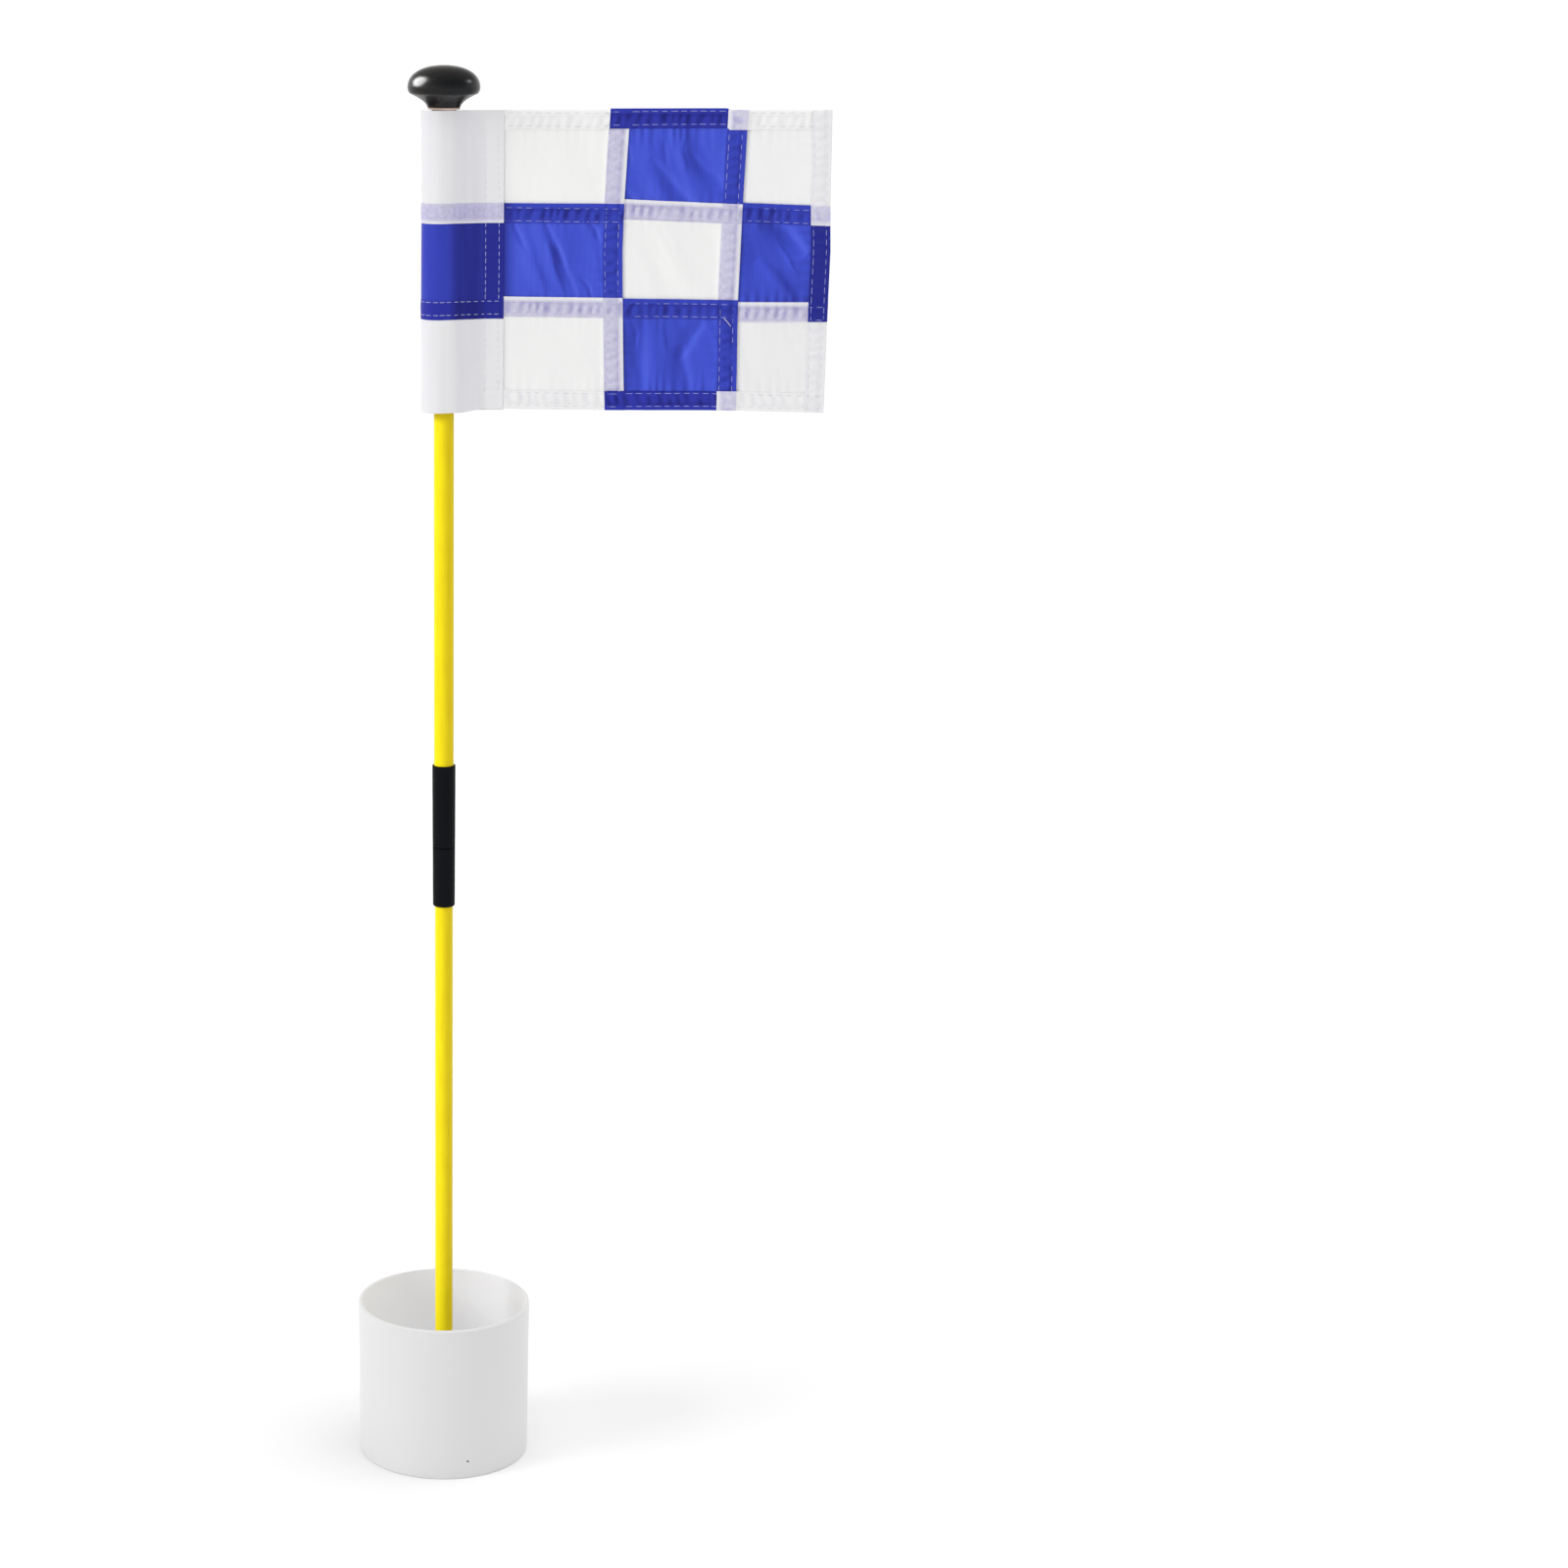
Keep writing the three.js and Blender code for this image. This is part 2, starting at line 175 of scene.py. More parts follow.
def coated_rod(name):
    """Yellow gel coat over glass fibre: fibres run along the rod under the skin."""
    colour, deep, pale = (0.71, 0.545, 0.005), (0.61, 0.42, 0.003), (0.75, 0.60, 0.008)
    shader = Shader(name, colour, 0.38, Specular_IOR_Level=0.1)
    fibre = shader.grain((1500, 1500, 26), 3.0)
    mottle = shader.grain((160, 160, 60), 3.0)
    toned = shader.mix(shader.spread(fibre, 0.0, 0.55), colour, deep)
    toned = shader.mix(shader.spread(mottle, 0.0, 0.5), toned, pale)
    gloss = shader.spread(mottle, 0.30, 0.44)
    return shader.finish(toned, gloss, shader.bump(fibre, 0.02 * MM))


def rubber(name):
    """Black rubber with a fine matt skin and faint rings from its extrusion."""
    shader = Shader(name, (0.006, 0.0065, 0.008), 0.52, Specular_IOR_Level=0.06)
    skin = shader.grain((900, 900, 900), 3.0)
    rings = shader.grain((30, 30, 1300), 2.0)
    dust = shader.grain((70, 70, 40), 5.0)
    black, dusty = (0.0035, 0.004, 0.0055), (0.0065, 0.007, 0.009)
    toned = shader.mix(shader.spread(dust, 0.0, 0.7), black, dusty)
    normal = shader.bump(skin, 0.03 * MM, after=shader.bump(rings, 0.03 * MM))
    return shader.finish(toned, shader.spread(dust, 0.46, 0.62), normal)


def turned_metal(name, colour, worn, roughness):
    """Lathe-turned metal: fine rings round the axis and a little tarnish."""
    shader = Shader(name, colour, roughness, 1.0)
    rings = shader.grain((40, 40, 9000), 2.0)
    tarnish = shader.grain((260, 260, 260), 4.0)
    toned = shader.mix(shader.spread(tarnish), colour, worn)
    gloss = shader.spread(tarnish, roughness - 0.06, roughness + 0.14)
    return shader.finish(toned, gloss, shader.bump(rings, 0.012 * MM))


def pressed_fibre(name):
    shader = Shader(name, (0.80, 0.56, 0.44), 0.85, Specular_IOR_Level=0.25)
    flecks = shader.grain((1400, 1400, 2600), 4.0)
    toned = shader.mix(shader.spread(flecks), (0.90, 0.70, 0.60), (0.76, 0.54, 0.43))
    return shader.finish(toned, None, shader.bump(flecks, 0.06 * MM))


def polished_black(name):
    """Polished black plastic with hairline scuffs that only the gloss shows."""
    shader = Shader(name, (0.008, 0.0085, 0.01), 0.15, Specular_IOR_Level=0.2)
    scuffs = shader.grain((240, 240, 900), 5.0)
    haze = shader.grain((45, 45, 45), 3.0)
    toned = shader.mix(shader.spread(haze), (0.006, 0.0075, 0.009), (0.014, 0.011, 0.009))
    return shader.finish(toned, shader.spread(scuffs, 0.2, 0.29), shader.bump(haze, 0.01 * MM))


WEAVE = 0.42                  # spacing of the cloth's threads
MOTTLE = 0.14                 # how much the colour that shows through the cloth varies
WAVE_PERIOD = 2 * math.pi / 20  # length of one wave of Blender's wave texture at scale 1


def nylon(name, single, double_shaded, shaded, lit, under, roughness, streak):
    """Plain-woven nylon. The attributes on its mesh say where two layers lie (ply_shade), which
    deepens the dye and is also painted shade; where painted shade lies on folds, puckers, seams and
    beside the sleeve (shade) and painted light on folds that catch the light (lit); and where the
    patch below shows through it (under)."""
    shader = Shader(name, single, roughness, Specular_IOR_Level=0.18, Sheen_Weight=0.05,
                    Sheen_Roughness=0.45)
    scale = WAVE_PERIOD / (WEAVE * MM)
    threads = []
    for direction in ("X", "Y"):
        wave = shader.add("ShaderNodeTexWave", {
            "Vector": shader.place((1, 1, 1), "cloth"), "Scale": scale, "Distortion": 0.6,
            "Detail": 1.0, "Detail Scale": 0.2,
        }, bands_direction=direction)
        threads.append(wave.outputs["Fac"])
    weave = shader.math("MULTIPLY", *threads)
    slubs = shader.grain((1100, 26, 1), 3.0, "cloth")
    weft = shader.grain((30, 900, 1), 2.0, "cloth")
    patches = shader.grain((520, 420, 1), 3.0, "cloth")
    darker, paler = ([min(share * v, 1) for v in under] for share in (1 - MOTTLE, 1 + MOTTLE))
    through = shader.mix(shader.spread(patches), darker, paler)
    # Two layers: a deeper dye, partly painted shade. Then the patch below, then painted light and
    # painted shade.
    toned = shader.mix(shader.attribute("ply_shade"), single, double_shaded)
    toned = shader.mix(shader.attribute("under"), toned, through)
    toned = shader.mix(shader.attribute("lit"), toned, lit)
    toned = shader.mix(shader.attribute("shade"), toned, shaded, "MULTIPLY")
    streaks = shader.mix(shader.spread(slubs), (1 - streak,) * 3, (1.0,) * 3)
    toned = shader.mix(1.0, toned, streaks, "MULTIPLY")
    normal = shader.bump(weave, 0.035 * MM, 0.5)
    normal = shader.bump(slubs, 0.08 * MM, 0.6, normal)
    normal = shader.bump(weft, 0.04 * MM, 0.5, normal)
    return shader.finish(toned, shader.spread(slubs, roughness - 0.05, roughness + 0.06), normal)


def twisted_thread(name):
    """White sewing thread. The attribute sunk says where it is drawn into the blue cloth."""
    shader = Shader(name, (0.72, 0.72, 0.78), 0.5, Specular_IOR_Level=0.15)
    twist = shader.add("ShaderNodeTexWave", {
        "Vector": shader.place((1, 1, 1)), "Scale": WAVE_PERIOD / (0.5 * MM), "Distortion": 1.0,
    }, bands_direction="DIAGONAL").outputs["Fac"]
    clean = shader.mix(twist, (0.60, 0.60, 0.68), (0.74, 0.74, 0.79))
    bluish = shader.mix(twist, (0.27, 0.29, 0.66), (0.46, 0.48, 0.82))
    toned = shader.mix(shader.attribute("sunk"), clean, bluish)
    return shader.finish(toned, None, shader.bump(twist, 0.05 * MM))


# The inner colour is painted light, for the inside of the cup.
WHITE_PLASTIC = moulded("white_plastic", (0.695, 0.695, 0.695), 0.33, (0.715, 0.715, 0.72),
                        inner=(0.93, 0.935, 0.975))
YELLOW_ROD = coated_rod("yellow_rod")
BLACK_RUBBER = rubber("black_rubber")
TIP_PLASTIC = moulded("tip_plastic", (0.016, 0.017, 0.018), 0.45, (0.022, 0.022, 0.023), 0.3)
TUBE_PLASTIC = moulded("tube_plastic", (0.80, 0.78, 0.71), 0.42, (0.76, 0.73, 0.65))
BRASS = turned_metal("brass", (0.71, 0.50, 0.24), (0.55, 0.36, 0.16), 0.28)
STEEL = turned_metal("zinc_plated_steel", (0.62, 0.63, 0.66), (0.48, 0.48, 0.50), 0.27)
FIBRE = pressed_fibre("pressed_fibre")
POLISHED = polished_black("polished_black")
THREAD = twisted_thread("sewing_thread")
# For each cloth: one layer's colour; two layers' colour, a deeper dye that is partly painted shade; the
# tint of painted shade; the colour of painted light; the patch below seen through it; roughness;
# streaks.
CLOTH = {
    "white": nylon("white_nylon", (0.89, 0.89, 0.88), (0.81, 0.81, 0.825), (0.74, 0.72, 0.81),
                   (0.90, 0.90, 0.90), (0.48, 0.455, 0.69), 0.55, 0.02),
    "blue": nylon("blue_nylon", (0.052, 0.086, 0.65), (0.021, 0.027, 0.36), (0.34, 0.27, 0.45),
                  (0.090, 0.14, 0.80), (0.028, 0.034, 0.38), 0.5, 0.12),
}

# ------------------------------------------------------------------ mesh helpers


def new_piece(name, vertices, faces, material, sharp=None):
    """A mesh piece from points in millimetres, smooth except at edges sharper than an angle."""
    mesh = bpy.data.meshes.new(name)
    mesh.from_pydata((np.asarray(vertices, float) * MM).tolist(), [], faces)
    mesh.validate()
    mesh.shade_smooth()
    if sharp:
        mesh.set_sharp_from_angle(angle=math.radians(sharp))
    mesh.materials.append(material)
    piece = bpy.data.objects.new(name, mesh)
    bpy.context.scene.collection.objects.link(piece)
    return piece


def span(node):
    """A round CAD node's radius and the heights of its bottom and top."""
    low, high = box_mm(node)
    return high[0], low[2], high[2]


def stand_in(piece, body, slot, *nodes):
    """Makes a piece ride on a body, in place of CAD nodes if any are named. The slot is not used."""
    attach(piece, body)
    if nodes:
        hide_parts(*nodes)
    return piece


def turned(name, profile, material, segments=ROUND, sharp=28):
    """Turns (radius, height) points round Z. A profile that ends off the axis is closed on itself."""
    vertices, faces, rings = [], [], []
    for radius, height in profile:
        if radius < 1e-6:
            rings.append([len(vertices)] * segments)
            vertices.append((0, 0, height))
            continue
        rings.append(list(range(len(vertices), len(vertices) + segments)))
        for i in range(segments):
            angle = 2 * math.pi * i / segments
            vertices.append((radius * math.cos(angle), radius * math.sin(angle), height))
    loops = list(zip(rings, rings[1:]))
    if profile[0][0] > 1e-6:
        loops.append((rings[-1], rings[0]))
    for lower, upper in loops:
        for i in range(segments):
            j = (i + 1) % segments
            corners = [lower[i], lower[j], upper[j], upper[i]]
            face = [v for k, v in enumerate(corners) if v != corners[k - 1]]
            if len(face) > 2:
                faces.append(face)
    return new_piece(name, vertices, faces, material, sharp)


def arc(centre_radius, centre_height, radius, start, end, steps=8):
    """Points of a round edge in a turned profile, angles in degrees from outwards to upwards."""
    points = []
    for i in range(steps + 1):
        angle = math.radians(lerp(start, end, i / steps))
        across, up = radius * math.cos(angle), radius * math.sin(angle)
        points.append((centre_radius + across, centre_height + up))
    return points


def ridged(radius, depth, start, step, stop, first=0):
    """Profile points of a knurled or grooved stretch, each second one nearer the axis."""
    return [(radius - depth * (i % 2), start + step * i) for i in range(first, stop)]


def combine(piece, other, operation):
    """Joins another piece to this one or cuts it away, and removes the other."""
    modifier = piece.modifiers.new("combine", "BOOLEAN")
    modifier.operation = operation
    modifier.object = other
    modifier.solver = "EXACT"
    evaluated = piece.evaluated_get(bpy.context.evaluated_depsgraph_get())
    mesh = bpy.data.meshes.new_from_object(evaluated)
    piece.modifiers.clear()
    piece.data = mesh
    bpy.data.objects.remove(other)


def rod_between(name, radius, start, end, material, segments=48):
    """A plain round bar between two points, for cutting holes."""
    start, end = Vector(start), Vector(end)
    length = (end - start).length
    bar = turned(name, [(0, 0), (radius, 0), (radius, length), (0, length)], material, segments)
    turn = (end - start).to_track_quat("Z", "Y").to_matrix().to_4x4()
    bar.data.transform(Matrix.Translation(start * MM) @ turn)
    return bar


def block(name, low, high, angle, material):
    """A thin web between two corners, turned about Z."""
    xs, ys, zs = zip(low, high)
    corners = [(x, y, z) for x in xs for y in ys for z in zs]
    faces = [(0, 1, 3, 2), (4, 6, 7, 5), (0, 4, 5, 1), (2, 3, 7, 6), (0, 2, 6, 4), (1, 5, 7, 3)]
    web = new_piece(name, corners, faces, material)
    web.data.transform(Matrix.Rotation(angle, 4, "Z"))
    return web


# ------------------------------------------------------------------ cup

CUP_HIGH = box_mm("cup")[1]
CUP_RADIUS = CUP_HIGH[0]
CUP_HEIGHT = CUP_HIGH[2]
CUP_DRAFT = 0.9               # how much narrower the foot is than the rim
CUP_WALL = 2.2
CUP_FLOOR = (18, 20.4)
RIM_ROUND, LIP_ROUND, FOOT_ROUND = 1.5, 0.45, 0.6
FILLET, FILLET_MIDDLE = 1.2, 0.35       # size of an inner corner's fillet, and where its middle lies
SOCKET_RADIUS = 9.2
SOCKET_TOP = 36
SOCKET_BORE = 6.3
SOCKET_FLOOR = 2.6
RIBS = 6
RIB_THICKNESS = 2
DRAIN_RADIUS = 3.5
DRAIN_CIRCLE = 31
PIN_HOLE = (0.75, 11, math.radians(-73.6))   # radius, height and place round the wall


def make_cup():
    foot = CUP_RADIUS - CUP_DRAFT
    inner_foot = foot - CUP_WALL
    bottom, top = CUP_FLOOR
    inner_rim = CUP_RADIUS - CUP_WALL
    profile = [
        (0, 0), (SOCKET_RADIUS, 0), (SOCKET_RADIUS, bottom), (inner_foot, bottom), (inner_foot, 0),
        *arc(foot - FOOT_ROUND, FOOT_ROUND, FOOT_ROUND, -90, 0, 5),
        *arc(CUP_RADIUS - RIM_ROUND, CUP_HEIGHT - RIM_ROUND, RIM_ROUND, 0, 90, 12),
        *arc(inner_rim + LIP_ROUND, CUP_HEIGHT - LIP_ROUND, LIP_ROUND, 90, 180, 6),
        (inner_foot, top + FILLET), (inner_foot - FILLET_MIDDLE, top + FILLET_MIDDLE),
        (inner_foot - FILLET, top), (SOCKET_RADIUS + FILLET, top),
        (SOCKET_RADIUS + FILLET_MIDDLE, top + FILLET_MIDDLE), (SOCKET_RADIUS, top + FILLET),
        *arc(SOCKET_RADIUS - FOOT_ROUND, SOCKET_TOP - FOOT_ROUND, FOOT_ROUND, 0, 90, 5),
        (SOCKET_BORE + 0.6, SOCKET_TOP), (SOCKET_BORE, SOCKET_TOP - 0.8), (SOCKET_BORE, SOCKET_FLOOR),
        (0, SOCKET_FLOOR),
    ]
    cup = turned("cup_moulding", profile, WHITE_PLASTIC, 192)
    for i in range(RIBS):
        angle = 2 * math.pi * i / RIBS
        low = (SOCKET_RADIUS - 1, -RIB_THICKNESS / 2, 1)
        high = (inner_foot + CUP_WALL / 2, RIB_THICKNESS / 2, bottom + 1)
        combine(cup, block("rib", low, high, angle, WHITE_PLASTIC), "UNION")
        between = angle + math.pi / RIBS
        x, y = DRAIN_CIRCLE * math.cos(between), DRAIN_CIRCLE * math.sin(between)
        drain = rod_between("drain", DRAIN_RADIUS, (x, y, bottom - 4), (x, y, top + 4), WHITE_PLASTIC)
        combine(cup, drain, "DIFFERENCE")
    radius, height, angle = PIN_HOLE
    across = Vector((math.cos(angle), math.sin(angle), 0))
    up = Vector((0, 0, height))
    hole = rod_between("hole", radius, across * (foot - 5) + up, across * (foot + 5) + up,
                       WHITE_PLASTIC, 24)
    combine(cup, hole, "DIFFERENCE")
    cup.data.shade_smooth()
    cup.data.set_sharp_from_angle(angle=math.radians(28))
    # Painted light: the inner attribute marks the cup's inside, which the material paints paler.
    within, above = (inner_rim + 0.2) * MM, (bottom + 1) * MM
    inner = [float(math.hypot(v.co.x, v.co.y) < within and v.co.z > above)
             for v in cup.data.vertices]
    cup.data.attributes.new("inner", "FLOAT", "POINT").data.foreach_set("value", inner)
    stand_in(cup, "cup", "white_plastic", "cup")


make_cup()

# ------------------------------------------------------------------ rods, joint and seal

THREAD_PITCH = 1.0
THREAD_DEPTH = 0.55
ROD_WALL = 1.7
BROKEN_EDGE = 0.25            # how far a rod's cut ends are chamfered
SLEEVE_RADII = (6.75, 7.1)    # of the rubber sleeve, at its lower and upper end
KNURL_DEPTH, KNURL_STEP = 0.15, 0.9
GROOVE_DEPTH, GROOVE_STEP = 0.25, 0.5   # the tapped brass parts' inner threads, as grooves
TAPPED_RADIUS = 3.3
GLUE_GAP = 0.2                # between a part and what is bonded into it
STUD_HOLE = 3.6               # radius of the holes that the knob's stud passes through


def helix_thread(name, radius, bottom, top, material, lead=0.8):
    """An M6 thread as one closed skin: its ridge climbs one pitch for each turn."""
    around, per_pitch = 48, 8
    rows = int((top - bottom) / THREAD_PITCH * per_pitch) + 1
    heights = np.linspace(bottom, top, rows)
    vertices, faces = [], []
    for height in heights:
        chamfer = min(1.0, (height - bottom + 0.05) / lead, (top - height + 0.05) / lead)
        limit = radius - 0.8 * (1 - chamfer)
        for i in range(around):
            phase = (height / THREAD_PITCH - i / around) % 1
            ridge = min(1.0, max(0.0, 1.25 * (1 - 2 * abs(phase - 0.5)) - 0.1))
            here = min(limit, radius - THREAD_DEPTH * (1 - ridge))
            angle = 2 * math.pi * i / around
            vertices.append((here * math.cos(angle), here * math.sin(angle), height))
    for k in range(rows - 1):
        for i in range(around):
            j = (i + 1) % around
            a, b = k * around, (k + 1) * around
            faces.append((a + i, a + j, b + j, b + i))
    faces.append(tuple(range(around - 1, -1, -1)))
    faces.append(tuple(range((rows - 1) * around, rows * around)))
    return new_piece(name, vertices, faces, material, 50)


def join_pieces(main, *others):
    """Puts the bodies of several pieces into one mesh."""
    with bpy.context.temp_override(active_object=main, selected_editable_objects=[main, *others]):
        bpy.ops.object.join()
    return main


def hollow_rod(name, node, body):
    """A coated tube with its cut ends slightly broken."""
    outer, bottom, top = span(node)
    inner, edge = outer - ROD_WALL, BROKEN_EDGE
    profile = [
        (inner, bottom), (outer - edge, bottom), (outer, bottom + edge),
        (outer, top - edge), (outer - edge, top), (inner, top),
    ]
    stand_in(turned(name, profile, YELLOW_ROD, 96), body, "yellow_rod", node)


def tapered_sleeve(name, node, bore, bottom_round, top_round, low_radius, high_radius, body):
    """One half of the rubber sleeve, a little uneven, tapered from its lower to its upper end."""
    _, bottom, top = span(node)
    side = []
    for i in range(1, 24):
        share = i / 24
        height = lerp(bottom + bottom_round, top - top_round, share)
        wave = 0.03 * float(noise(height / 9, 0.5, 3))
        side.append((lerp(low_radius, high_radius, share) + wave, height))
    profile = [
        (bore, bottom), *arc(low_radius - bottom_round, bottom + bottom_round, bottom_round, -90, 0),
        *side, *arc(high_radius - top_round, top - top_round, top_round, 0, 90), (bore, top),
    ]
    stand_in(turned(name, profile, BLACK_RUBBER), body, "black_sleeve", node)


def make_rods():
    radius, bottom, top = span("rod_tip")
    rod_radius, rod_bottom, _ = span("lower_rod")
    bore, tip_floor = rod_radius + GLUE_GAP, rod_bottom - GLUE_GAP
    tip = turned("tip_ferrule", [
        (0, bottom), *arc(radius - 1.2, bottom + 1.2, 1.2, -90, 0), (radius, bottom + 6),
        *ridged(radius, 0.12, bottom + 6, 0.8, 8, 1),
        (radius, bottom + 14), (radius, top - 0.5), (radius - 0.2, top), (bore, top),
        (bore, tip_floor), (0, tip_floor),
    ], TIP_PLASTIC, 96)
    stand_in(tip, "lower_section", "black_tip", "rod_tip")
    hollow_rod("lower_rod_coated", "lower_rod", "lower_section")
    hollow_rod("upper_rod_coated", "upper_rod", "upper_section")


def make_joint():
    _, bottom, parting = span("joint_sleeve_lower")
    _, _, top = span("joint_sleeve_upper")
    narrow, wide = SLEEVE_RADII
    middle = lerp(narrow, wide, (parting - bottom) / (top - bottom))
    tapered_sleeve("sleeve_lower_rubber", "joint_sleeve_lower", 5.7, 0.9, 0.3, narrow, middle,
                   "lower_section")
    tapered_sleeve("sleeve_upper_rubber", "joint_sleeve_upper", 6.2, 0.3, 0.6, middle, wide,
                   "upper_section")

    collar_radius, bottom, thread_top = span("joint_stud")
    collar_top = thread_top - 18
    collar_bottom = collar_top - 8.5
    shank = 3.6
    knurl = ridged(shank, KNURL_DEPTH, bottom + 3, KNURL_STEP, 30)
    body = turned("joint_stud_threaded", [
        (0, bottom), (shank - 0.8, bottom), (shank, bottom + 0.8), *knurl, (shank, collar_bottom),
        (collar_radius - 0.2, collar_bottom), (collar_radius, collar_bottom + 0.2),
        (collar_radius, collar_top - 0.2), (collar_radius - 0.2, collar_top), (2.6, collar_top),
        (2.6, collar_top + 0.3), (0, collar_top + 0.3),
    ], BRASS, 96)
    thread = helix_thread("stud_thread", 3.0, collar_top - 0.2, thread_top, BRASS)
    stand_in(join_pieces(body, thread), "lower_section", "brass", "joint_stud")

    flange, bottom, top = span("joint_socket")
    flange_top, bore, depth = bottom + 3.5, TAPPED_RADIUS, bottom + 20
    shank = 4.1
    knurl = ridged(shank, KNURL_DEPTH, flange_top + 3, KNURL_STEP, 36)
    grooves = ridged(bore, GROOVE_DEPTH, depth, -GROOVE_STEP, 38, 1)
    socket = turned("joint_socket_turned", [
        (bore + 0.4, bottom), (flange - 0.2, bottom), (flange, bottom + 0.2),
        (flange, flange_top - 0.2), (flange - 0.2, flange_top), (shank, flange_top), *knurl,
        (shank, top - 0.8), (shank - 0.8, top), (0, top), (0, depth + 1.5), (bore, depth),
        *grooves, (bore, bottom + 0.4),
    ], BRASS, 96)
    stand_in(socket, "upper_section", "brass", "joint_socket")

    outer, bottom, top = span("joint_seal")
    section = (top - bottom) / 2
    round_section = arc(outer - section, bottom + section, section, 0, 342.9, 20)
    seal = turned("seal_ring", round_section, BLACK_RUBBER, 96, 60)
    stand_in(seal, "joint_seal", "seal_rubber", "joint_seal")

    outer, bottom, top = span("top_insert")
    grooves = ridged(bore, GROOVE_DEPTH, bottom + 3, GROOVE_STEP, 24, 1)
    insert = turned("top_insert_turned", [
        (0, bottom), (outer - 0.8, bottom), (outer, bottom + 0.8), (outer, top), (bore + 0.4, top),
        (bore, top - 0.4), *reversed(grooves), (bore, bottom + 3), (0, bottom + 1.5),
    ], BRASS, 96)
    stand_in(insert, "upper_section", "brass", "top_insert")


make_rods()
make_joint()

# ------------------------------------------------------------------ knob, washer and tube


def make_knob():
    radius, bottom, top = span("knob")
    neck, widest, bore = 9.75, 11.4, 3.2
    bulge = 2 / 2.2           # the crown is a little fuller than an ellipse
    flare = []
    for i in range(25):
        t = i / 24
        across = (1 - t) ** 2 * neck + 2 * t * (1 - t) * (neck + 0.45) + t * t * (radius - 1.5)
        up = 2 * t * (1 - t) * 3.5 + t * t * 7.8
        flare.append((across, bottom + up))
    crown = []
    for i in range(36):
        angle = math.pi / 2 * i / 36
        up = (top - bottom - widest) * math.sin(angle) ** bulge
        crown.append((radius * math.cos(angle) ** bulge, bottom + widest + up))
    waist = [(radius - inset, bottom + up) for inset, up in ((0.95, 8.35), (0.5, 9.1), (0.15, 10.2))]
    bore_top = span("knob_stud")[2] + GLUE_GAP
    knob = turned("knob_polished", [
        (0, bore_top), (bore, bore_top), (bore, bottom), (neck - 0.3, bottom),
        *flare, *waist, *crown, (0, top),
    ], POLISHED, 192, 40)
    stand_in(knob, "knob", "black_gloss", "knob")

    split = bottom + 4
    stud_radius, stud_bottom, stud_top = span("knob_stud")
    plain = turned("knob_stud_threaded", [
        (0, split - 1), (2.7, split - 1), (2.95, split), (2.95, stud_top), (0, stud_top),
    ], STEEL, 96)
    thread = helix_thread("knob_thread", stud_radius, stud_bottom, split, STEEL)
    stand_in(join_pieces(plain, thread), "knob", "steel", "knob_stud")

    outer, bottom, top = span("knob_washer")
    edge = 0.25
    washer = turned("washer_fibre", [
        (STUD_HOLE, bottom), *arc(outer - edge, bottom + edge, edge, -90, 0, 4),
        *arc(outer - edge, top - edge, edge, 0, 90, 4), (STUD_HOLE, top),
    ], FIBRE, 128)
    stand_in(washer, "knob_washer", "tan_fibre", "knob_washer")

    outer, bottom, top = span("flag_tube")
    inner, under_cap = outer - 1.1, top - 1.7
    tube = turned("flag_tube_moulded", [
        (inner, bottom), (outer - 0.3, bottom), (outer, bottom + 0.3), (outer, top - 0.5),
        (outer - 0.5, top), (STUD_HOLE, top), (STUD_HOLE, under_cap), (inner, under_cap),
    ], TUBE_PLASTIC, 96)
    stand_in(tube, "flag", "natural_plastic", "flag_tube")


make_knob()

# ------------------------------------------------------------------ flag: where everything runs

ROWS = ("top", "middle", "bottom")
BAND = 11.6                   # width of a felled seam and of a hem
STITCH_LINES = (2.8, 10.4)    # both rows of stitches, from the fold that shows in front
PLY = 0.2                     # cloth thickness as modelled
FOLD_PLY = 0.22               # what a folded-in allowance adds
COLUMN_STEP = 0.5             # how far the two patches of a column seam stand apart from the middle
ROW_STEP = 0.25
SLEEVE_STEP = 0.16
RAMP = 3.0                    # how far from a seam the cloth comes back to the middle
LAP = 35.3                    # front edge of the sleeve's lap
SLEEVE_STITCHES = (24.4, 32.3)
LAP_DEPTH = 0.62
LAP_PULL = 0.11               # how far the lap's stitches draw it in and out
SLEEVE_HALF = PLY / 2 + 0.04  # half the sleeve's thickness as modelled
PUCKER_PITCH = 5.9

HOIST_LOW, HOIST_HIGH = box_mm("flag_sleeve_top")
FLAG_LEFT = HOIST_LOW[0]
FLAG_TOP = HOIST_HIGH[2]
FLAG_BOTTOM = box_mm("flag_sleeve_bottom")[0][2]
FLAG_FLY = box_mm("flag_patch_top_3")[1][0]


def patch_box(row, column):
    """The corners of a CAD patch of the fly."""
    return box_mm(f"flag_patch_{ROWS[row]}_{column}")


ROW_FOLD = {
    row: (patch_box(row - 1, 1)[0][2] + patch_box(row, 1)[1][2] + BAND) / 2 for row in (1, 2)
}
COLUMN_FOLD = {
    column: (patch_box(0, column)[1][0] + patch_box(0, column + 1)[0][0] + BAND) / 2
    for column in (1, 2)
}

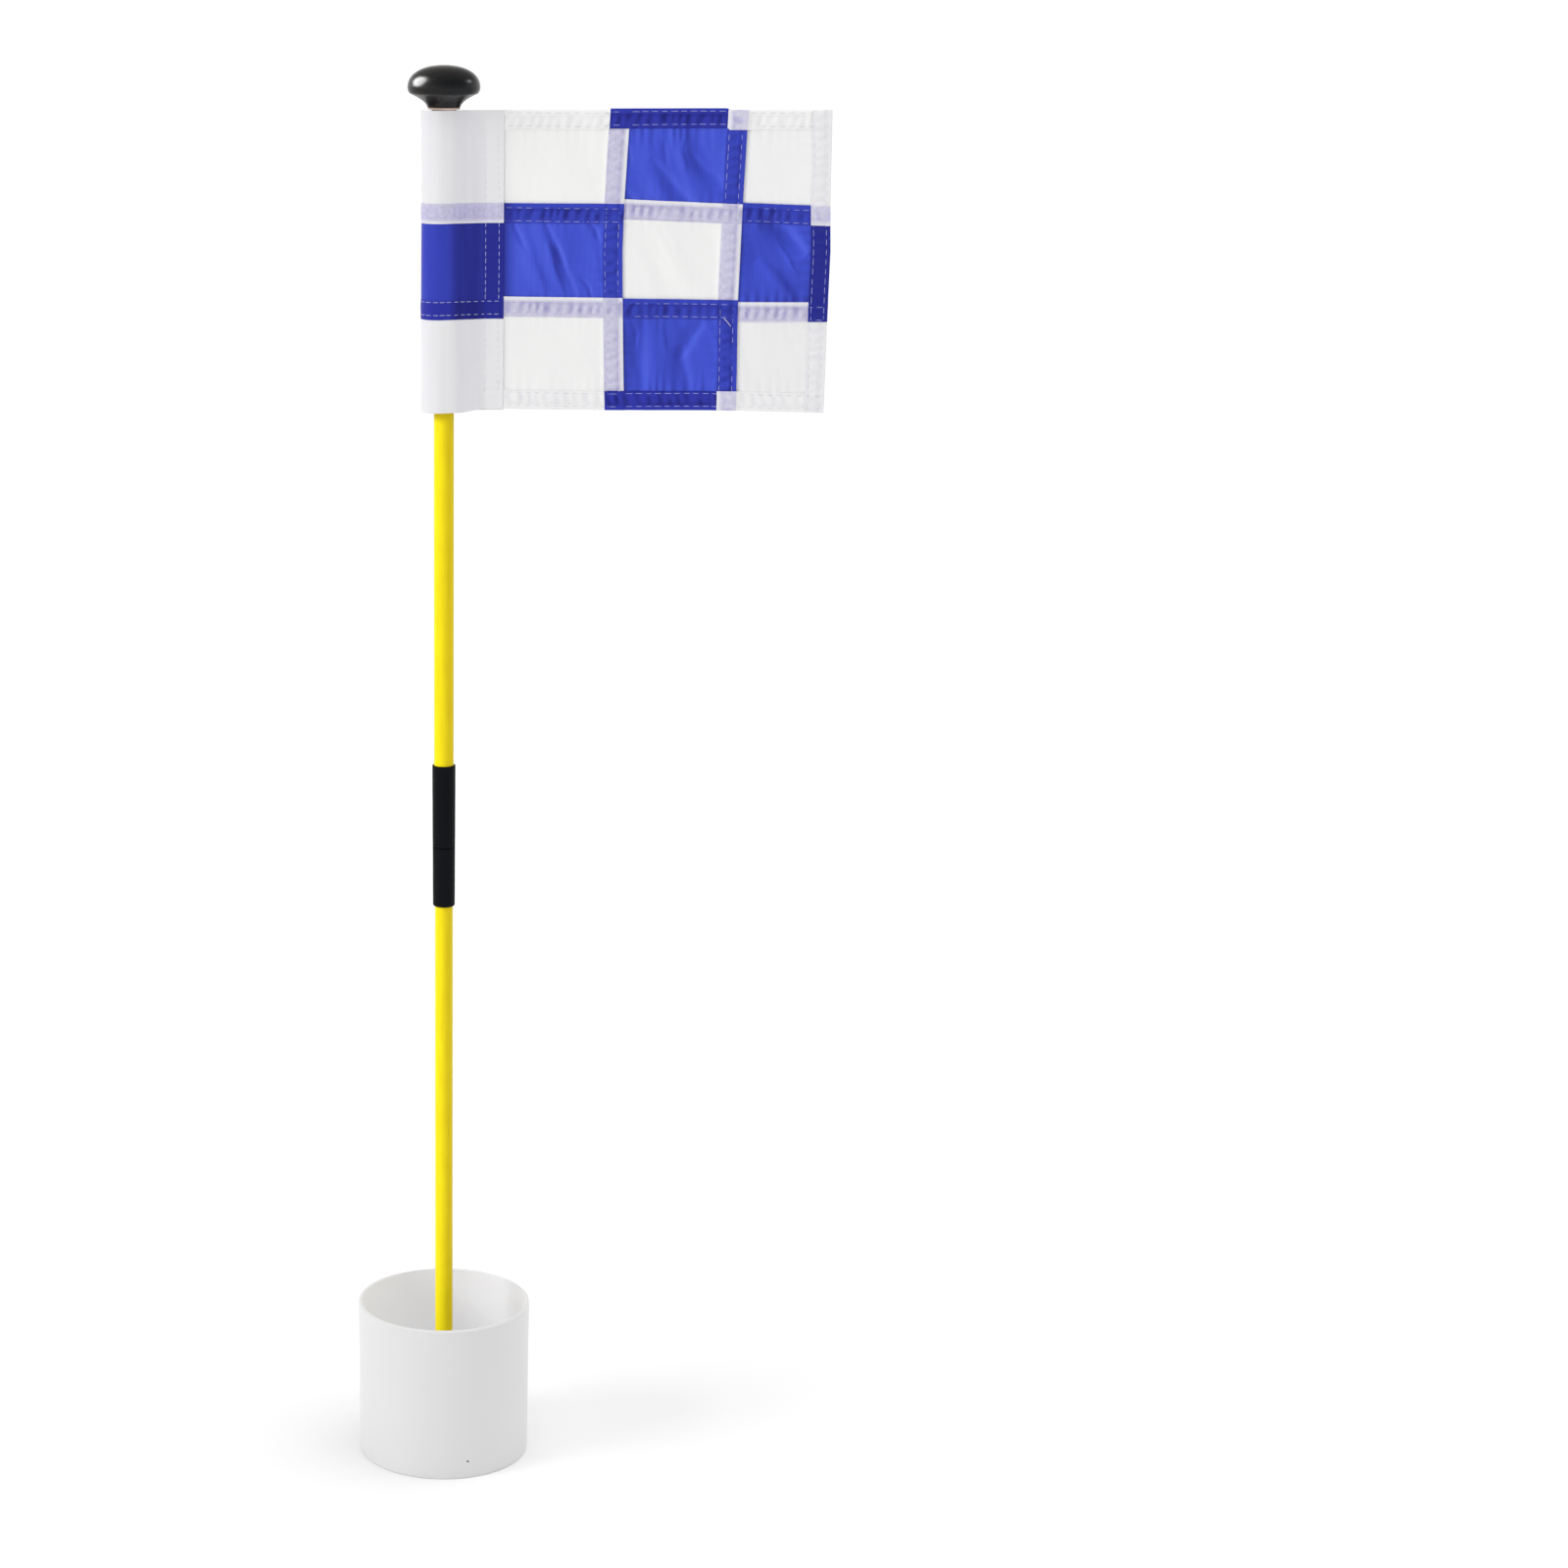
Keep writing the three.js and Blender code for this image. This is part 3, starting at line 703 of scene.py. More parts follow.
# Hand-sewn seams wander: how far each is off its nominal place, at the flag's bottom, the lower
# seam, the middle, the upper seam and the top, and along rows at each column's two ends.
COLUMN_DRIFT = {
    1: (1.3, -0.3, -0.8, 0.0, 2.9),
    2: (-1.5, -1.5, -0.6, 0.4, 2.5),
    3: (-0.5, 0.6, 1.2, 0.4, 0.4),
}
ROW_DRIFT = {
    1: {1: (-0.1, -0.5), 2: (2.2, -0.9), 3: (0.0, -1.8)},
    2: {1: (1.5, 0.6), 2: (0.2, -0.7), 3: (-1.8, -2.0)},
}
TOP_STEP = 0.9                # the middle column's hem stands a little higher
BOTTOM_DRIFT = (1.6, 0.8, 0.6, -0.8)
HEIGHTS = (FLAG_BOTTOM, ROW_FOLD[2], (ROW_FOLD[1] + ROW_FOLD[2]) / 2, ROW_FOLD[1], FLAG_TOP)


def column_edge(column, z):
    """The edge of a column on its fly side as the front shows it: a fold, or the fly itself."""
    if column == 0:
        return np.full_like(np.asarray(z, float), LAP)
    nominal = FLAG_FLY if column == 3 else COLUMN_FOLD[column]
    return nominal + np.interp(z, HEIGHTS, COLUMN_DRIFT[column])


def row_edge(row, column, x):
    """The upper edge of a row as the front shows it: a fold, or the flag's top; row 3 is the bottom."""
    x = np.asarray(x, float)
    ends = (LAP, COLUMN_FOLD[1], COLUMN_FOLD[2], FLAG_FLY)
    if row == 0:
        first, second = (ends[c] + COLUMN_DRIFT[c][-1] - BAND for c in (1, 2))
        raised = smoothstep(first - 0.6, first, x) * smoothstep(second + 0.6, second, x)
        return FLAG_TOP + TOP_STEP * raised
    if row == 3:
        return FLAG_BOTTOM + (np.interp(x, ends, BOTTOM_DRIFT) if column else 0 * x)
    if column == 0:
        return ROW_FOLD[row] + 0 * x
    share = (x - ends[column - 1]) / (ends[column] - ends[column - 1])
    return ROW_FOLD[row] + lerp(*ROW_DRIFT[row][column], np.clip(share, -0.3, 1.0))


def past_lap(x):
    """0 under the sleeve's lap, 1 beyond its edge."""
    return smoothstep(LAP - 0.5, LAP + 2.5, x)


def colour_of(row, column):
    """The chequer: the sleeve's column repeats the first one's colours."""
    return "blue" if (row == 1) != (column == 2) else "white"


# ------------------------------------------------------------------ flag: relief of the cloth

# Folds pressed into the panels: from (x, z), to (x, z), width and height of each.
CREASES = [
    ((121, 813), (152, 778), 6.0, -1.3), ((103, 798), (119, 777), 4.0, -0.8),
    ((142, 816), (164, 796), 5.0, -0.8), ((106, 825), (111, 808), 2.0, -0.4),
    ((128, 823), (132, 807), 1.8, -0.25), ((139, 823), (142, 804), 2.2, 0.3),
    ((58, 779), (71, 748), 2.8, -0.8), ((65, 766), (79, 727), 3.2, -0.7),
    ((60, 764), (71, 728), 3.4, 0.6), ((40, 777), (50, 759), 2.0, -0.7),
    ((84, 777), (94, 763), 2.0, -0.6), ((80, 743), (90, 729), 1.7, -0.4),
    ((48, 774), (60, 730), 5.0, 0.45), ((86, 764), (94, 736), 4.0, 0.25),
    ((119, 724), (117, 662), 9.0, -1.3), ((153, 718), (139, 693), 5.5, -0.8),
    ((140, 703), (148, 668), 6.5, -0.9), ((106, 722), (104, 664), 3.0, 0.4),
    ((128, 716), (133, 696), 2.0, 0.2), ((112, 717), (116, 700), 2.0, -0.2),
    ((189, 779), (214, 756), 6.5, -2.2), ((196, 763), (210, 745), 1.7, 0.3),
    ((173, 780), (170, 728), 3.4, 0.6), ((186, 754), (206, 728), 7.0, 0.9),
    ((190, 700), (214, 684), 4.0, 0.3), ((60, 812), (90, 800), 5.0, 0.25),
    ((120, 758), (150, 740), 6.0, 0.25), ((52, 700), (84, 690), 5.0, 0.25),
]
STEEP = 0.5                   # width of a fold's steep side, against its gentle side


def crease_height(x, z):
    total = 0 * x
    for (x0, z0), (x1, z1), width, height in CREASES:
        length = math.hypot(x1 - x0, z1 - z0)
        share = ((x - x0) * (x1 - x0) + (z - z0) * (z1 - z0)) / length ** 2
        across = ((x - x0) * (z1 - z0) - (z - z0) * (x1 - x0)) / length
        across = across + 1.6 * noise(share * 2.3, x0 / 7, 71)
        taper = np.sin(math.pi * np.clip(share, 0, 1)) ** 0.8
        wide = width * (0.5 + 0.6 * taper) * np.where(across > 0, 1, STEEP)
        total = total + height * taper * np.exp(-((across / wide) ** 2))
    return total


def wrinkle(x, z):
    """Fine creases that run down towards the fly, as in cloth that has been folded away."""
    bend = 7 * noise(x / 38, z / 34, 81)
    across = 0.87 * x + 0.5 * z + bend
    along = 0.87 * z - 0.5 * x
    return 0.10 * noise(across / 4.2, along / 30, 82) + 0.65 * noise(across / 13, along / 45, 83)


def pucker(along, seed):
    """The pull of the stitches along a seam: waves some 7 mm long, of uneven strength."""
    phase = 2 * math.pi * along / PUCKER_PITCH + 2.6 * noise(along / 12, seed * 7.3, seed)
    wave = np.sin(phase) + 0.45 * noise(along / 2.1, seed * 3.1, seed + 9)
    return wave * (0.72 + 0.4 * noise(along / 19, seed, seed + 4))


def seam_lines(x, z):
    """Distance across and place along each seam's middle and each hem's edge, with a seed."""
    lines = [(x - column_edge(c, z) + BAND / 2, z, 10 + c) for c in (1, 2)]
    lines += [(x - column_edge(3, z) + BAND, z, 13)]
    for row in (1, 2):
        lines.append((z - (ROW_FOLD[row] - BAND / 2), x, 20 + row))
    lines.append((z - FLAG_TOP + BAND, x, 20))
    lines.append((z - FLAG_BOTTOM - BAND, x, 23))
    return lines


def relief(x, z):
    """How far the whole cloth stands towards the front, -Y, at a place on the flag."""
    x, z = np.asarray(x, float), np.asarray(z, float)
    loose = smoothstep(LAP - 4, LAP + 26, x)
    sway = 1.3 * noise(x / 62 + 0.3, z / 90, 1) + 0.45 * noise(x / 27, z / 34, 2)
    total = sway * loose + crease_height(x, z) + loose * wrinkle(x, z)
    for across, along, seed in seam_lines(x, z):
        reach = np.exp(-((across / 8.5) ** 2))
        total = total + 0.15 * reach * pucker(along, seed) * smoothstep(LAP, LAP + 8, x)
    return total


def facing(x, z):
    """How far the cloth leans towards the light at the left, as a slope."""
    step = 0.35
    slope_x = (relief(x + step, z) - relief(x - step, z)) / (2 * step)
    slope_z = (relief(x, z + step) - relief(x, z - step)) / (2 * step)
    return 0.95 * slope_x - 0.3 * slope_z


def band_fill(from_fold, along, seed, drawn_shade=1.0):
    """The puffed strip between a band's two rows of stitches: its height, and the painted shade in its
    puckers and in the creases beside its stitches."""
    first, second = STITCH_LINES
    share = np.clip((from_fold - first) / (second - first), 0, 1)
    swell = np.sin(math.pi * share)
    wave = pucker(along + 0.2 * from_fold, seed)
    lip = 0.16 * np.exp(-(((from_fold - 1.3) / 1.1) ** 2))
    height = swell * (0.16 + 0.3 * np.clip(wave + 0.25, -0.35, 1.0)) + lip
    patchy = 0.75 + 0.5 * noise(along / 3.1, from_fold / 4, seed + 17)
    # Painted shade in the puckers' hollows, and below, along the creases beside the stitches.
    band_shade = drawn_shade * swell ** 0.7 * smoothstep(0.7, -0.9, wave) * patchy
    for line in STITCH_LINES:
        band_shade = band_shade + 0.6 * np.exp(-(((from_fold - line - 0.9) / 0.8) ** 2)) * patchy
    return np.maximum(height, 0), np.clip(band_shade, 0, 1)


def inside(from_fold, soft=0.5):
    """1 inside a band, counted from its fold, falling to 0 beyond its far side."""
    return 1 - smoothstep(BAND - soft, BAND + soft, from_fold)


UPRIGHT, LEVEL = 0.45, 1.0    # how strongly the thread draws the two kinds of seam, shown as painted shade in their puckers
PAINTED_LEAN_BLUE, PAINTED_LEAN_WHITE = 2.6, 0.25       # how strongly a fold's slope is painted as light and shade in either cloth
# How much painted light (above 0) or painted shade (below 0) a panel takes as a whole, as if
# turned towards or from the light, by row and column.
PANEL_PAINTED_LEAN = {(0, 2): 0.1, (1, 1): 0.1, (1, 3): -0.3, (2, 2): -0.18,
              (0, 3): -0.12, (1, 2): -0.08, (2, 1): -0.08, (2, 3): -0.24}
SEAM_PLY = 0.5                # a seam's band looks less deep in colour than a hem's


def layer(row, column, x, z, face, shape=None):
    """One face of a patch of the fly. Gives its depth towards -Y and the cloth's four fields."""
    depth, slope = shape or (relief(x, z), 0 * x)
    ply_shade, shade, under = np.zeros_like(x), np.zeros_like(x), np.zeros_like(x)
    swell = np.zeros_like(x)
    seams = []
    if column < 3:
        edge = column_edge(column, z)
        depth = depth + COLUMN_STEP * smoothstep(edge - BAND - RAMP, edge - BAND, x)
        seams.append((1, edge - x, z, 10 + column, (row, column + 1), UPRIGHT))
    if column > 1:
        edge = column_edge(column - 1, z)
        depth = depth - COLUMN_STEP * (1 - smoothstep(edge, edge + RAMP, x))
        seams.append((-1, x - edge + BAND, z, 9 + column, (row, column - 1), UPRIGHT))
    if row > 0:
        edge = row_edge(row, column, x)
        depth = depth + ROW_STEP * smoothstep(edge - BAND - RAMP, edge - BAND, z)
        seams.append((1, edge - z, x, 20 + row, (row - 1, column), LEVEL))
    if row < 2:
        edge = row_edge(row + 1, column, x)
        depth = depth - ROW_STEP * (1 - smoothstep(edge, edge + RAMP, z))
        seams.append((-1, z - edge + BAND, x, 21 + row, (row + 1, column), LEVEL))
    blue = colour_of(row, column) == "blue"
    for side, from_fold, along, seed, below, drawn_shade in seams:
        if side != face:
            continue
        band = inside(from_fold)
        height, band_shade = band_fill(from_fold, along, seed, drawn_shade)
        swell = np.maximum(swell, (FOLD_PLY + height) * band * past_lap(x))
        ply_shade = np.maximum(ply_shade, band)
        shade = np.maximum(shade, band_shade * band)
        # The blue below shows through the white, deeper where the puckers' painted shade lies.
        if colour_of(*below) == "blue" and not blue:
            lip = smoothstep(1.6, 2.6, from_fold)
            under = np.maximum(under, band * lerp(0.18, 0.66 + 0.3 * band_shade, lip))
    # Painted light and painted shade from the slope of the folds and from each panel's lean, weaker
    # where two layers lie.
    lean = (PAINTED_LEAN_BLUE if blue else PAINTED_LEAN_WHITE) * slope * face + PANEL_PAINTED_LEAN.get((row, column), 0)
    fold_and_lap_shade = np.clip(-lean, 0, 0.8) * (1 - 0.6 * ply_shade)
    # Painted shadow of the sleeve's lap across the first column, beside the lap's edge.
    if column == 1 and face == 1:
        fold_and_lap_shade = np.maximum(fold_and_lap_shade, (0.8 if blue else 0.2) * np.exp(-(((x - LAP) / 4.5) ** 2)))
    shade = np.clip(shade + fold_and_lap_shade * (1 - shade), 0, 1)
    lit = np.clip(lean, 0, 0.9) * (1 - ply_shade)
    return depth + face * (PLY / 2 + swell), SEAM_PLY * ply_shade, shade, lit, under


# ------------------------------------------------------------------ flag: closed slabs of cloth


FIELDS = ("ply_shade", "shade", "lit", "under")


def stations(length, step=1.0):
    """Distances along a side of a slab, close together at both ends, where the edge is rounded."""
    ends = np.array([0.0, 0.05, 0.16, 0.4])
    count = max(2, round((length - 2 * ends[-1]) / step) + 1)
    inner = np.linspace(ends[-1], length - ends[-1], count)
    return np.concatenate([ends[:-1], inner, length - ends[-2::-1]])


def rounding(distances):
    """Share of the thickness left near the ends of those distances."""
    nearest = np.minimum(distances, distances[-1] - distances)
    return np.sqrt(1 - (1 - np.clip(nearest / 0.3, 0.02, 1)) ** 2)


def slab(name, front, back, fields, flat, material):
    """A thin closed body between two grids of points, with point fields and its flat pattern."""
    rows, columns = front.shape[:2]
    count = rows * columns
    index = np.arange(count).reshape(rows, columns)
    quads = np.stack([index[:-1, :-1], index[:-1, 1:], index[1:, 1:], index[1:, :-1]], -1).reshape(-1, 4)
    rim = np.concatenate([index[0, :-1], index[:-1, -1], index[-1, :0:-1], index[:0:-1, 0]])
    after = np.roll(rim, -1)
    walls = np.stack([rim + count, after + count, after, rim], -1)
    faces = np.concatenate([quads, quads[:, ::-1] + count, walls])
    vertices = np.concatenate([front.reshape(-1, 3), back.reshape(-1, 3)])
    piece = new_piece(name, vertices, faces.tolist(), material)
    for key, (on_front, on_back) in fields.items():
        values = np.concatenate([on_front.reshape(-1), on_back.reshape(-1)])
        piece.data.attributes.new(key, "FLOAT", "POINT").data.foreach_set("value", values)
    pattern = np.concatenate([flat.reshape(-1, 2)] * 2) * MM
    loops = np.empty(len(piece.data.loops), int)
    piece.data.loops.foreach_get("vertex_index", loops)
    uv = piece.data.uv_layers.new(name="cloth")
    uv.data.foreach_set("uv", pattern[loops].reshape(-1))
    return piece


def flat_slab(name, x, z, surface, thin, material):
    """A slab over places (x, z) of the fly; surface(face) gives its depth and fields."""
    front_depth, *front_fields = surface(1)
    back_depth, *back_fields = surface(-1)
    middle = (front_depth + back_depth) / 2
    front_depth = lerp(middle, front_depth, thin)
    back_depth = lerp(middle, back_depth, thin)
    fields = {key: pair for key, pair in zip(FIELDS, zip(front_fields, back_fields))}
    front = np.stack([x, -front_depth, z], -1)
    back = np.stack([x, -back_depth, z], -1)
    return slab(name, front, back, fields, np.stack([x, z], -1), material)


def grid_between(left, right, bottom, top, size):
    """Places over a four-sided area whose sides are functions of height or of distance."""
    width, height = size
    across, up = stations(width), stations(height)
    s, t = np.meshgrid(across / width, up / height)
    thin = np.outer(rounding(up), rounding(across))
    middle_x = lerp(left(np.array(FLAG_TOP)), right(np.array(FLAG_TOP)), s)
    z = lerp(bottom(middle_x), top(middle_x), t)
    x = lerp(left(z), right(z), s)
    return x, lerp(bottom(x), top(x), t), thin


def make_patch(row, column):
    """A patch of the fly, with the allowances that run behind its neighbours."""
    hem = 0.45                # the cloth stops this far inside a hem's fold
    left = (lambda z: column_edge(column - 1, z) - BAND)
    right = (lambda z: column_edge(column, z) - (hem if column == 3 else 0))
    top = (lambda x: row_edge(row, column, x) - (hem if row == 0 else 0))
    bottom = (lambda x: row_edge(row + 1, column, x) - (-hem if row == 2 else BAND))
    size = (float(right(FLAG_TOP) - left(FLAG_TOP)), float(top(LAP) - bottom(LAP)))
    x, z, thin = grid_between(left, right, bottom, top, size)
    name = f"cloth_{ROWS[row]}_{column}"
    colour = colour_of(row, column)
    shape = relief(x, z), facing(x, z)
    piece = flat_slab(name, x, z, lambda face: layer(row, column, x, z, face, shape), thin,
                      CLOTH[colour])
    parts = [piece]
    if row == 0:
        parts.append(make_hem(row, column, "top"))
    if row == 2:
        parts.append(make_hem(row, column, "bottom"))
    if column == 3:
        parts.append(make_hem(row, column, "fly"))
    join_pieces(*parts)
    stand_in(piece, "flag", f"flag_{colour}", f"flag_patch_{ROWS[row]}_{column}")
    folded = BAND * (2 if column == 3 else 1)
    flat = ((size[0] + folded) * MM, (size[1] + (BAND if row != 1 else 0) + BAND) * MM)
    return piece, flat


HEM_GAP = 0.3                 # from the patch's middle to its hem's
CORNER_STEP = 0.55            # how far the fly hem stands over the top and bottom hems
LAP_STEP = 0.2                # how far a hem's own seams stand above and below it


def hem_layer(row, column, side, x, z, face):
    """A hem folded over to the front, so it shows the cloth's reverse and its seams' other fold.
    Gives what layer gives."""
    base = relief(x, z)
    stack, over, seams = HEM_GAP + 0 * x, 0 * x, []
    if side == "fly":
        out, along, seed, drawn_shade = column_edge(3, z) - x, z, 33, UPRIGHT
        for seam in (1, 2):
            stack = stack + ROW_STEP * 1.9 * band_mask(row_edge(seam, 3, x) - z)
        from_end = np.minimum(FLAG_TOP - z, z - FLAG_BOTTOM)
        stack = stack + CORNER_STEP * smoothstep(BAND + 1, BAND - 1, from_end)
        if row < 2:
            seams.append((z - row_edge(row + 1, 3, x) + BAND, x, 41 + row, (row + 1, 3)))
        if row > 0:
            over = over - LAP_STEP * inside(row_edge(row, 3, x) - z)
    else:
        edge = row_edge(0 if side == "top" else 3, column, x)
        out = edge - z if side == "top" else z - edge
        along, seed, drawn_shade = x, 30 if side == "top" else 34, LEVEL
        for seam in (1, 2):
            stack = stack + COLUMN_STEP * 1.7 * band_mask(column_edge(seam, z) - x)
        if column > 1:
            seams.append((x - column_edge(column - 1, z) + BAND, z, 41 + column, (row, column - 1)))
        if column < 3:
            over = over - LAP_STEP * inside(column_edge(column, z) - x)
    height, band_shade = band_fill(out, along, seed, drawn_shade)
    white = colour_of(row, column) == "white"
    # Painted shade all along the blue fly hem.
    if side == "fly" and not white:
        band_shade = np.maximum(band_shade, 0.6)
    # How much of the two-layer colour each hem takes, which is partly painted shade; the white top and
    # bottom hems take less.
    deep = {"top": 0.1, "bottom": 0.4}.get(side, 1) if white else 0.85
    ply_shade, shade, under = deep + 0 * x, (0.4 if white else 1) * band_shade, np.zeros_like(x)
    swell = height * past_lap(x)
    for from_fold, run, other_seed, below in seams:
        band = inside(from_fold)
        over = over + LAP_STEP * band
        # The blue below shows through, deeper where the seam's painted pucker shade lies.
        if colour_of(*below) == "blue" and white:
            _, seam_below_shade = band_fill(from_fold, run, other_seed)
            lip = smoothstep(1.0, 2.0, from_fold)
            under = np.maximum(under, band * lerp(0.18, 0.55 + 0.4 * seam_below_shade, lip))
    middle = base + stack + over
    if face == 1:
        return middle + PLY / 2 + swell, ply_shade, shade, 0 * x, under
    wrap = smoothstep(0.42, 0.28, out)
    return lerp(middle - PLY / 2, base - PLY / 2 - 0.05, wrap), ply_shade, 0 * x, 0 * x, 0 * x


def band_mask(from_fold):
    """1 over a whole felled seam, with soft flanks."""
    return smoothstep(-1.5, 0.5, from_fold) * (1 - smoothstep(BAND - 0.5, BAND + 1.5, from_fold))


def make_hem(row, column, side):
    """The strip of a patch that is folded over at the flag's edge."""
    if side == "fly":
        left = (lambda z: column_edge(3, z) - BAND)
        right = (lambda z: column_edge(3, z))
        top = (lambda x: row_edge(row, 3, x) - 0.1)
        bottom = (lambda x: row_edge(row + 1, 3, x) - (0 if row == 2 else BAND))
        size = (BAND, float(top(LAP) - bottom(LAP)))
    else:
        left = (lambda z: column_edge(column - 1, z) - BAND)
        right = (lambda z: column_edge(column, z) - (0.5 if column == 3 else 0))
        edge = (lambda x: row_edge(0 if side == "top" else 3, column, x))
        top = edge if side == "top" else (lambda x: edge(x) + BAND)
        bottom = (lambda x: edge(x) - BAND) if side == "top" else edge
        size = (float(right(FLAG_TOP) - left(FLAG_TOP)), BAND)
    x, z, thin = grid_between(left, right, bottom, top, size)
    return flat_slab(f"hem_{side}_{ROWS[row]}_{column}", x, z,
                     lambda face: hem_layer(row, column, side, x, z, face), thin,
                     CLOTH[colour_of(row, column)])


# ------------------------------------------------------------------ flag: sleeve round its tube

SLEEVE_ROUND = (HOIST_HIGH[1] - HOIST_LOW[1]) / 2
SLEEVE_CENTRE = FLAG_LEFT + SLEEVE_ROUND
PINCH = SLEEVE_STITCHES[0] - 0.6        # where both layers meet


def sleeve_path(count=150):
    """The loop's section from the front lap's edge round the tube to the back lap's edge, in the
    XY plane, with the outward direction at each point and the length along the cloth."""
    lean = math.asin((SLEEVE_ROUND - LAP_DEPTH) / (PINCH - SLEEVE_CENTRE))
    angles = np.linspace(math.pi / 2 - lean, 2 * math.pi - math.pi / 2 + lean, 60)
    loop_x = SLEEVE_CENTRE + SLEEVE_ROUND * np.cos(angles)
    loop_y = -SLEEVE_ROUND * np.sin(angles)
    x = np.concatenate([[LAP, LAP - 4, PINCH + 1.5, PINCH], loop_x, [PINCH, PINCH + 1.5, LAP - 4, LAP]])
    y = np.concatenate([[-LAP_DEPTH] * 2, [-LAP_DEPTH, -LAP_DEPTH - 0.12], loop_y,
                        [LAP_DEPTH + 0.12, LAP_DEPTH], [LAP_DEPTH] * 2])
    length = np.concatenate([[0], np.cumsum(np.hypot(np.diff(x), np.diff(y)))])
    places = stations(length[-1], length[-1] / count)
    x, y = np.interp(places, length, x), np.interp(places, length, y)
    for _ in range(3):
        x[1:-1] = (x[:-2] + 2 * x[1:-1] + x[2:]) / 4
        y[1:-1] = (y[:-2] + 2 * y[1:-1] + y[2:]) / 4
    out_x, out_y = -np.gradient(y, places), np.gradient(x, places)
    size = np.hypot(out_x, out_y)
    return places, x, y, out_x / size, out_y / size


def sleeve_surface(row, x, y, out_x, out_y, z, side, offset):
    """Points of the sleeve's outer or inner side, with the cloth's four fields."""
    front = smoothstep(2, -2, y)
    flat = smoothstep(PINCH - 3, PINCH + 2, x)
    flutes = (0.35 * noise(x / 7, z / 70, 51) + 0.2 * noise(x / 4 + 9, z / 38, 52)) * (1 - flat)
    rise = flutes + LAP_PULL * flat * pucker(z, 53)
    blue = colour_of(row, 0) == "blue"
    # Painted shade on the sleeve's front where it turns away from the light at the left, easing off
    # towards the lap; deeper in blue cloth.
    depth_of_shade, fading = (0.85, 0.35) if blue else (0.38, 0.7)
    shade = depth_of_shade * smoothstep(1.5, 9, x) * front
    shade = shade * (1 - fading * smoothstep(18, PINCH + 3, x))
    shade = shade * (0.95 + 0.1 * noise(x / 3, z / 60, 54))
    # Round its tube the sleeve takes much of the two-layer colour, partly painted shade; where its two
    # layers meet at the lap, all of it.
    under, ply_shade = np.zeros_like(x), lerp(0.6 if blue else 0.85, 1, flat)
    if row < 2:
        from_fold = z - row_edge(row + 1, 0, x) + BAND
        band = inside(from_fold)
        height, band_shade = band_fill(from_fold, x + 3 * y, 55 + row)
        rise = rise + band * (SLEEVE_STEP + 0.5 * height)
        # The blue below shows through, deeper where painted shade lies.
        if colour_of(row + 1, 0) == "blue":
            lip = smoothstep(1.0, 2.2, from_fold)
            under = band * lerp(0.2, 0.7 + 0.15 * band_shade + 0.3 * shade, lip)
        else:
            ply_shade = np.maximum(ply_shade, band)
    if row > 0:
        rise = rise - SLEEVE_STEP * inside(row_edge(row, 0, x) - z)
    if row == 0:
        rise = rise + SLEEVE_STEP * smoothstep(-0.7, 0.7, z - FLAG_TOP + BAND)
    if row == 2:
        rise = rise + SLEEVE_STEP * smoothstep(0.7, -0.7, z - FLAG_BOTTOM - BAND)
    depth = rise + side * offset
    points = np.stack([x + out_x * depth, y + out_y * depth, z], -1)
    # A little more painted shade along the white sleeve's left edge.
    if not blue:
        shade = shade + 0.2 * smoothstep(-2, -9, x) * front
    return points, (ply_shade, shade, 0 * x, under)


def sleeve_bottom(x, y):
    """The lower end hangs level round the tube and is drawn up a little at its seam."""
    return FLAG_BOTTOM + 1.9 * smoothstep(10, 24, x) * (0.4 + 0.6 * smoothstep(1, -1, y))


BACK_DROP = 1.0               # the sleeve's upper end is this much lower behind


def make_sleeve(row):
    places, px, py, nx, ny = sleeve_path()
    top = row_edge(row, 0, px) - (BACK_DROP * smoothstep(-2, 4, py) if row == 0 else 0)
    low = sleeve_bottom(px, py) if row == 2 else row_edge(row + 1, 0, px) - BAND
    height = float(np.max(top) - np.min(low))
    up = stations(height)
    z = lerp(low[None, :], top[None, :], (up / height)[:, None])
    grids = [np.broadcast_to(value, z.shape) for value in (px, py, nx, ny)]
    thin = np.outer(rounding(up), rounding(places)) * SLEEVE_HALF
    front, front_fields = sleeve_surface(row, *grids, z, 1, thin)
    back, back_fields = sleeve_surface(row, *grids, z, -1, thin)
    fields = {key: pair for key, pair in zip(FIELDS, zip(front_fields, back_fields))}
    flat = np.stack([np.broadcast_to(places, z.shape), z], -1)
    colour = colour_of(row, 0)
    piece = slab(f"cloth_sleeve_{ROWS[row]}", front, back, fields, flat, CLOTH[colour])
    stand_in(piece, "flag", f"flag_{colour}", f"flag_sleeve_{ROWS[row]}")
    return piece, (float(places[-1]) * MM, (height + BAND) * MM)


# ------------------------------------------------------------------ flag: sewing

SEAM_PITCH, SLEEVE_PITCH = 5.65, 4.2    # from one stitch to the next
STITCH_SHARE = 0.84           # of the pitch lies on top of the cloth
THREAD_RADIUS = 0.155


def row_at(column, x, z, reverse):
    """The row whose cloth shows at a place, on the front or on the cloth's reverse."""
    for row in (1, 2):
        if z > float(row_edge(row, column, x)) - (BAND if reverse else 0):
            return row - 1
    return 2


def column_at(x, z, reverse):
    for column in (1, 2):
        if x < float(column_edge(column, z)) - (BAND if reverse else 0):
            return column
    return 3


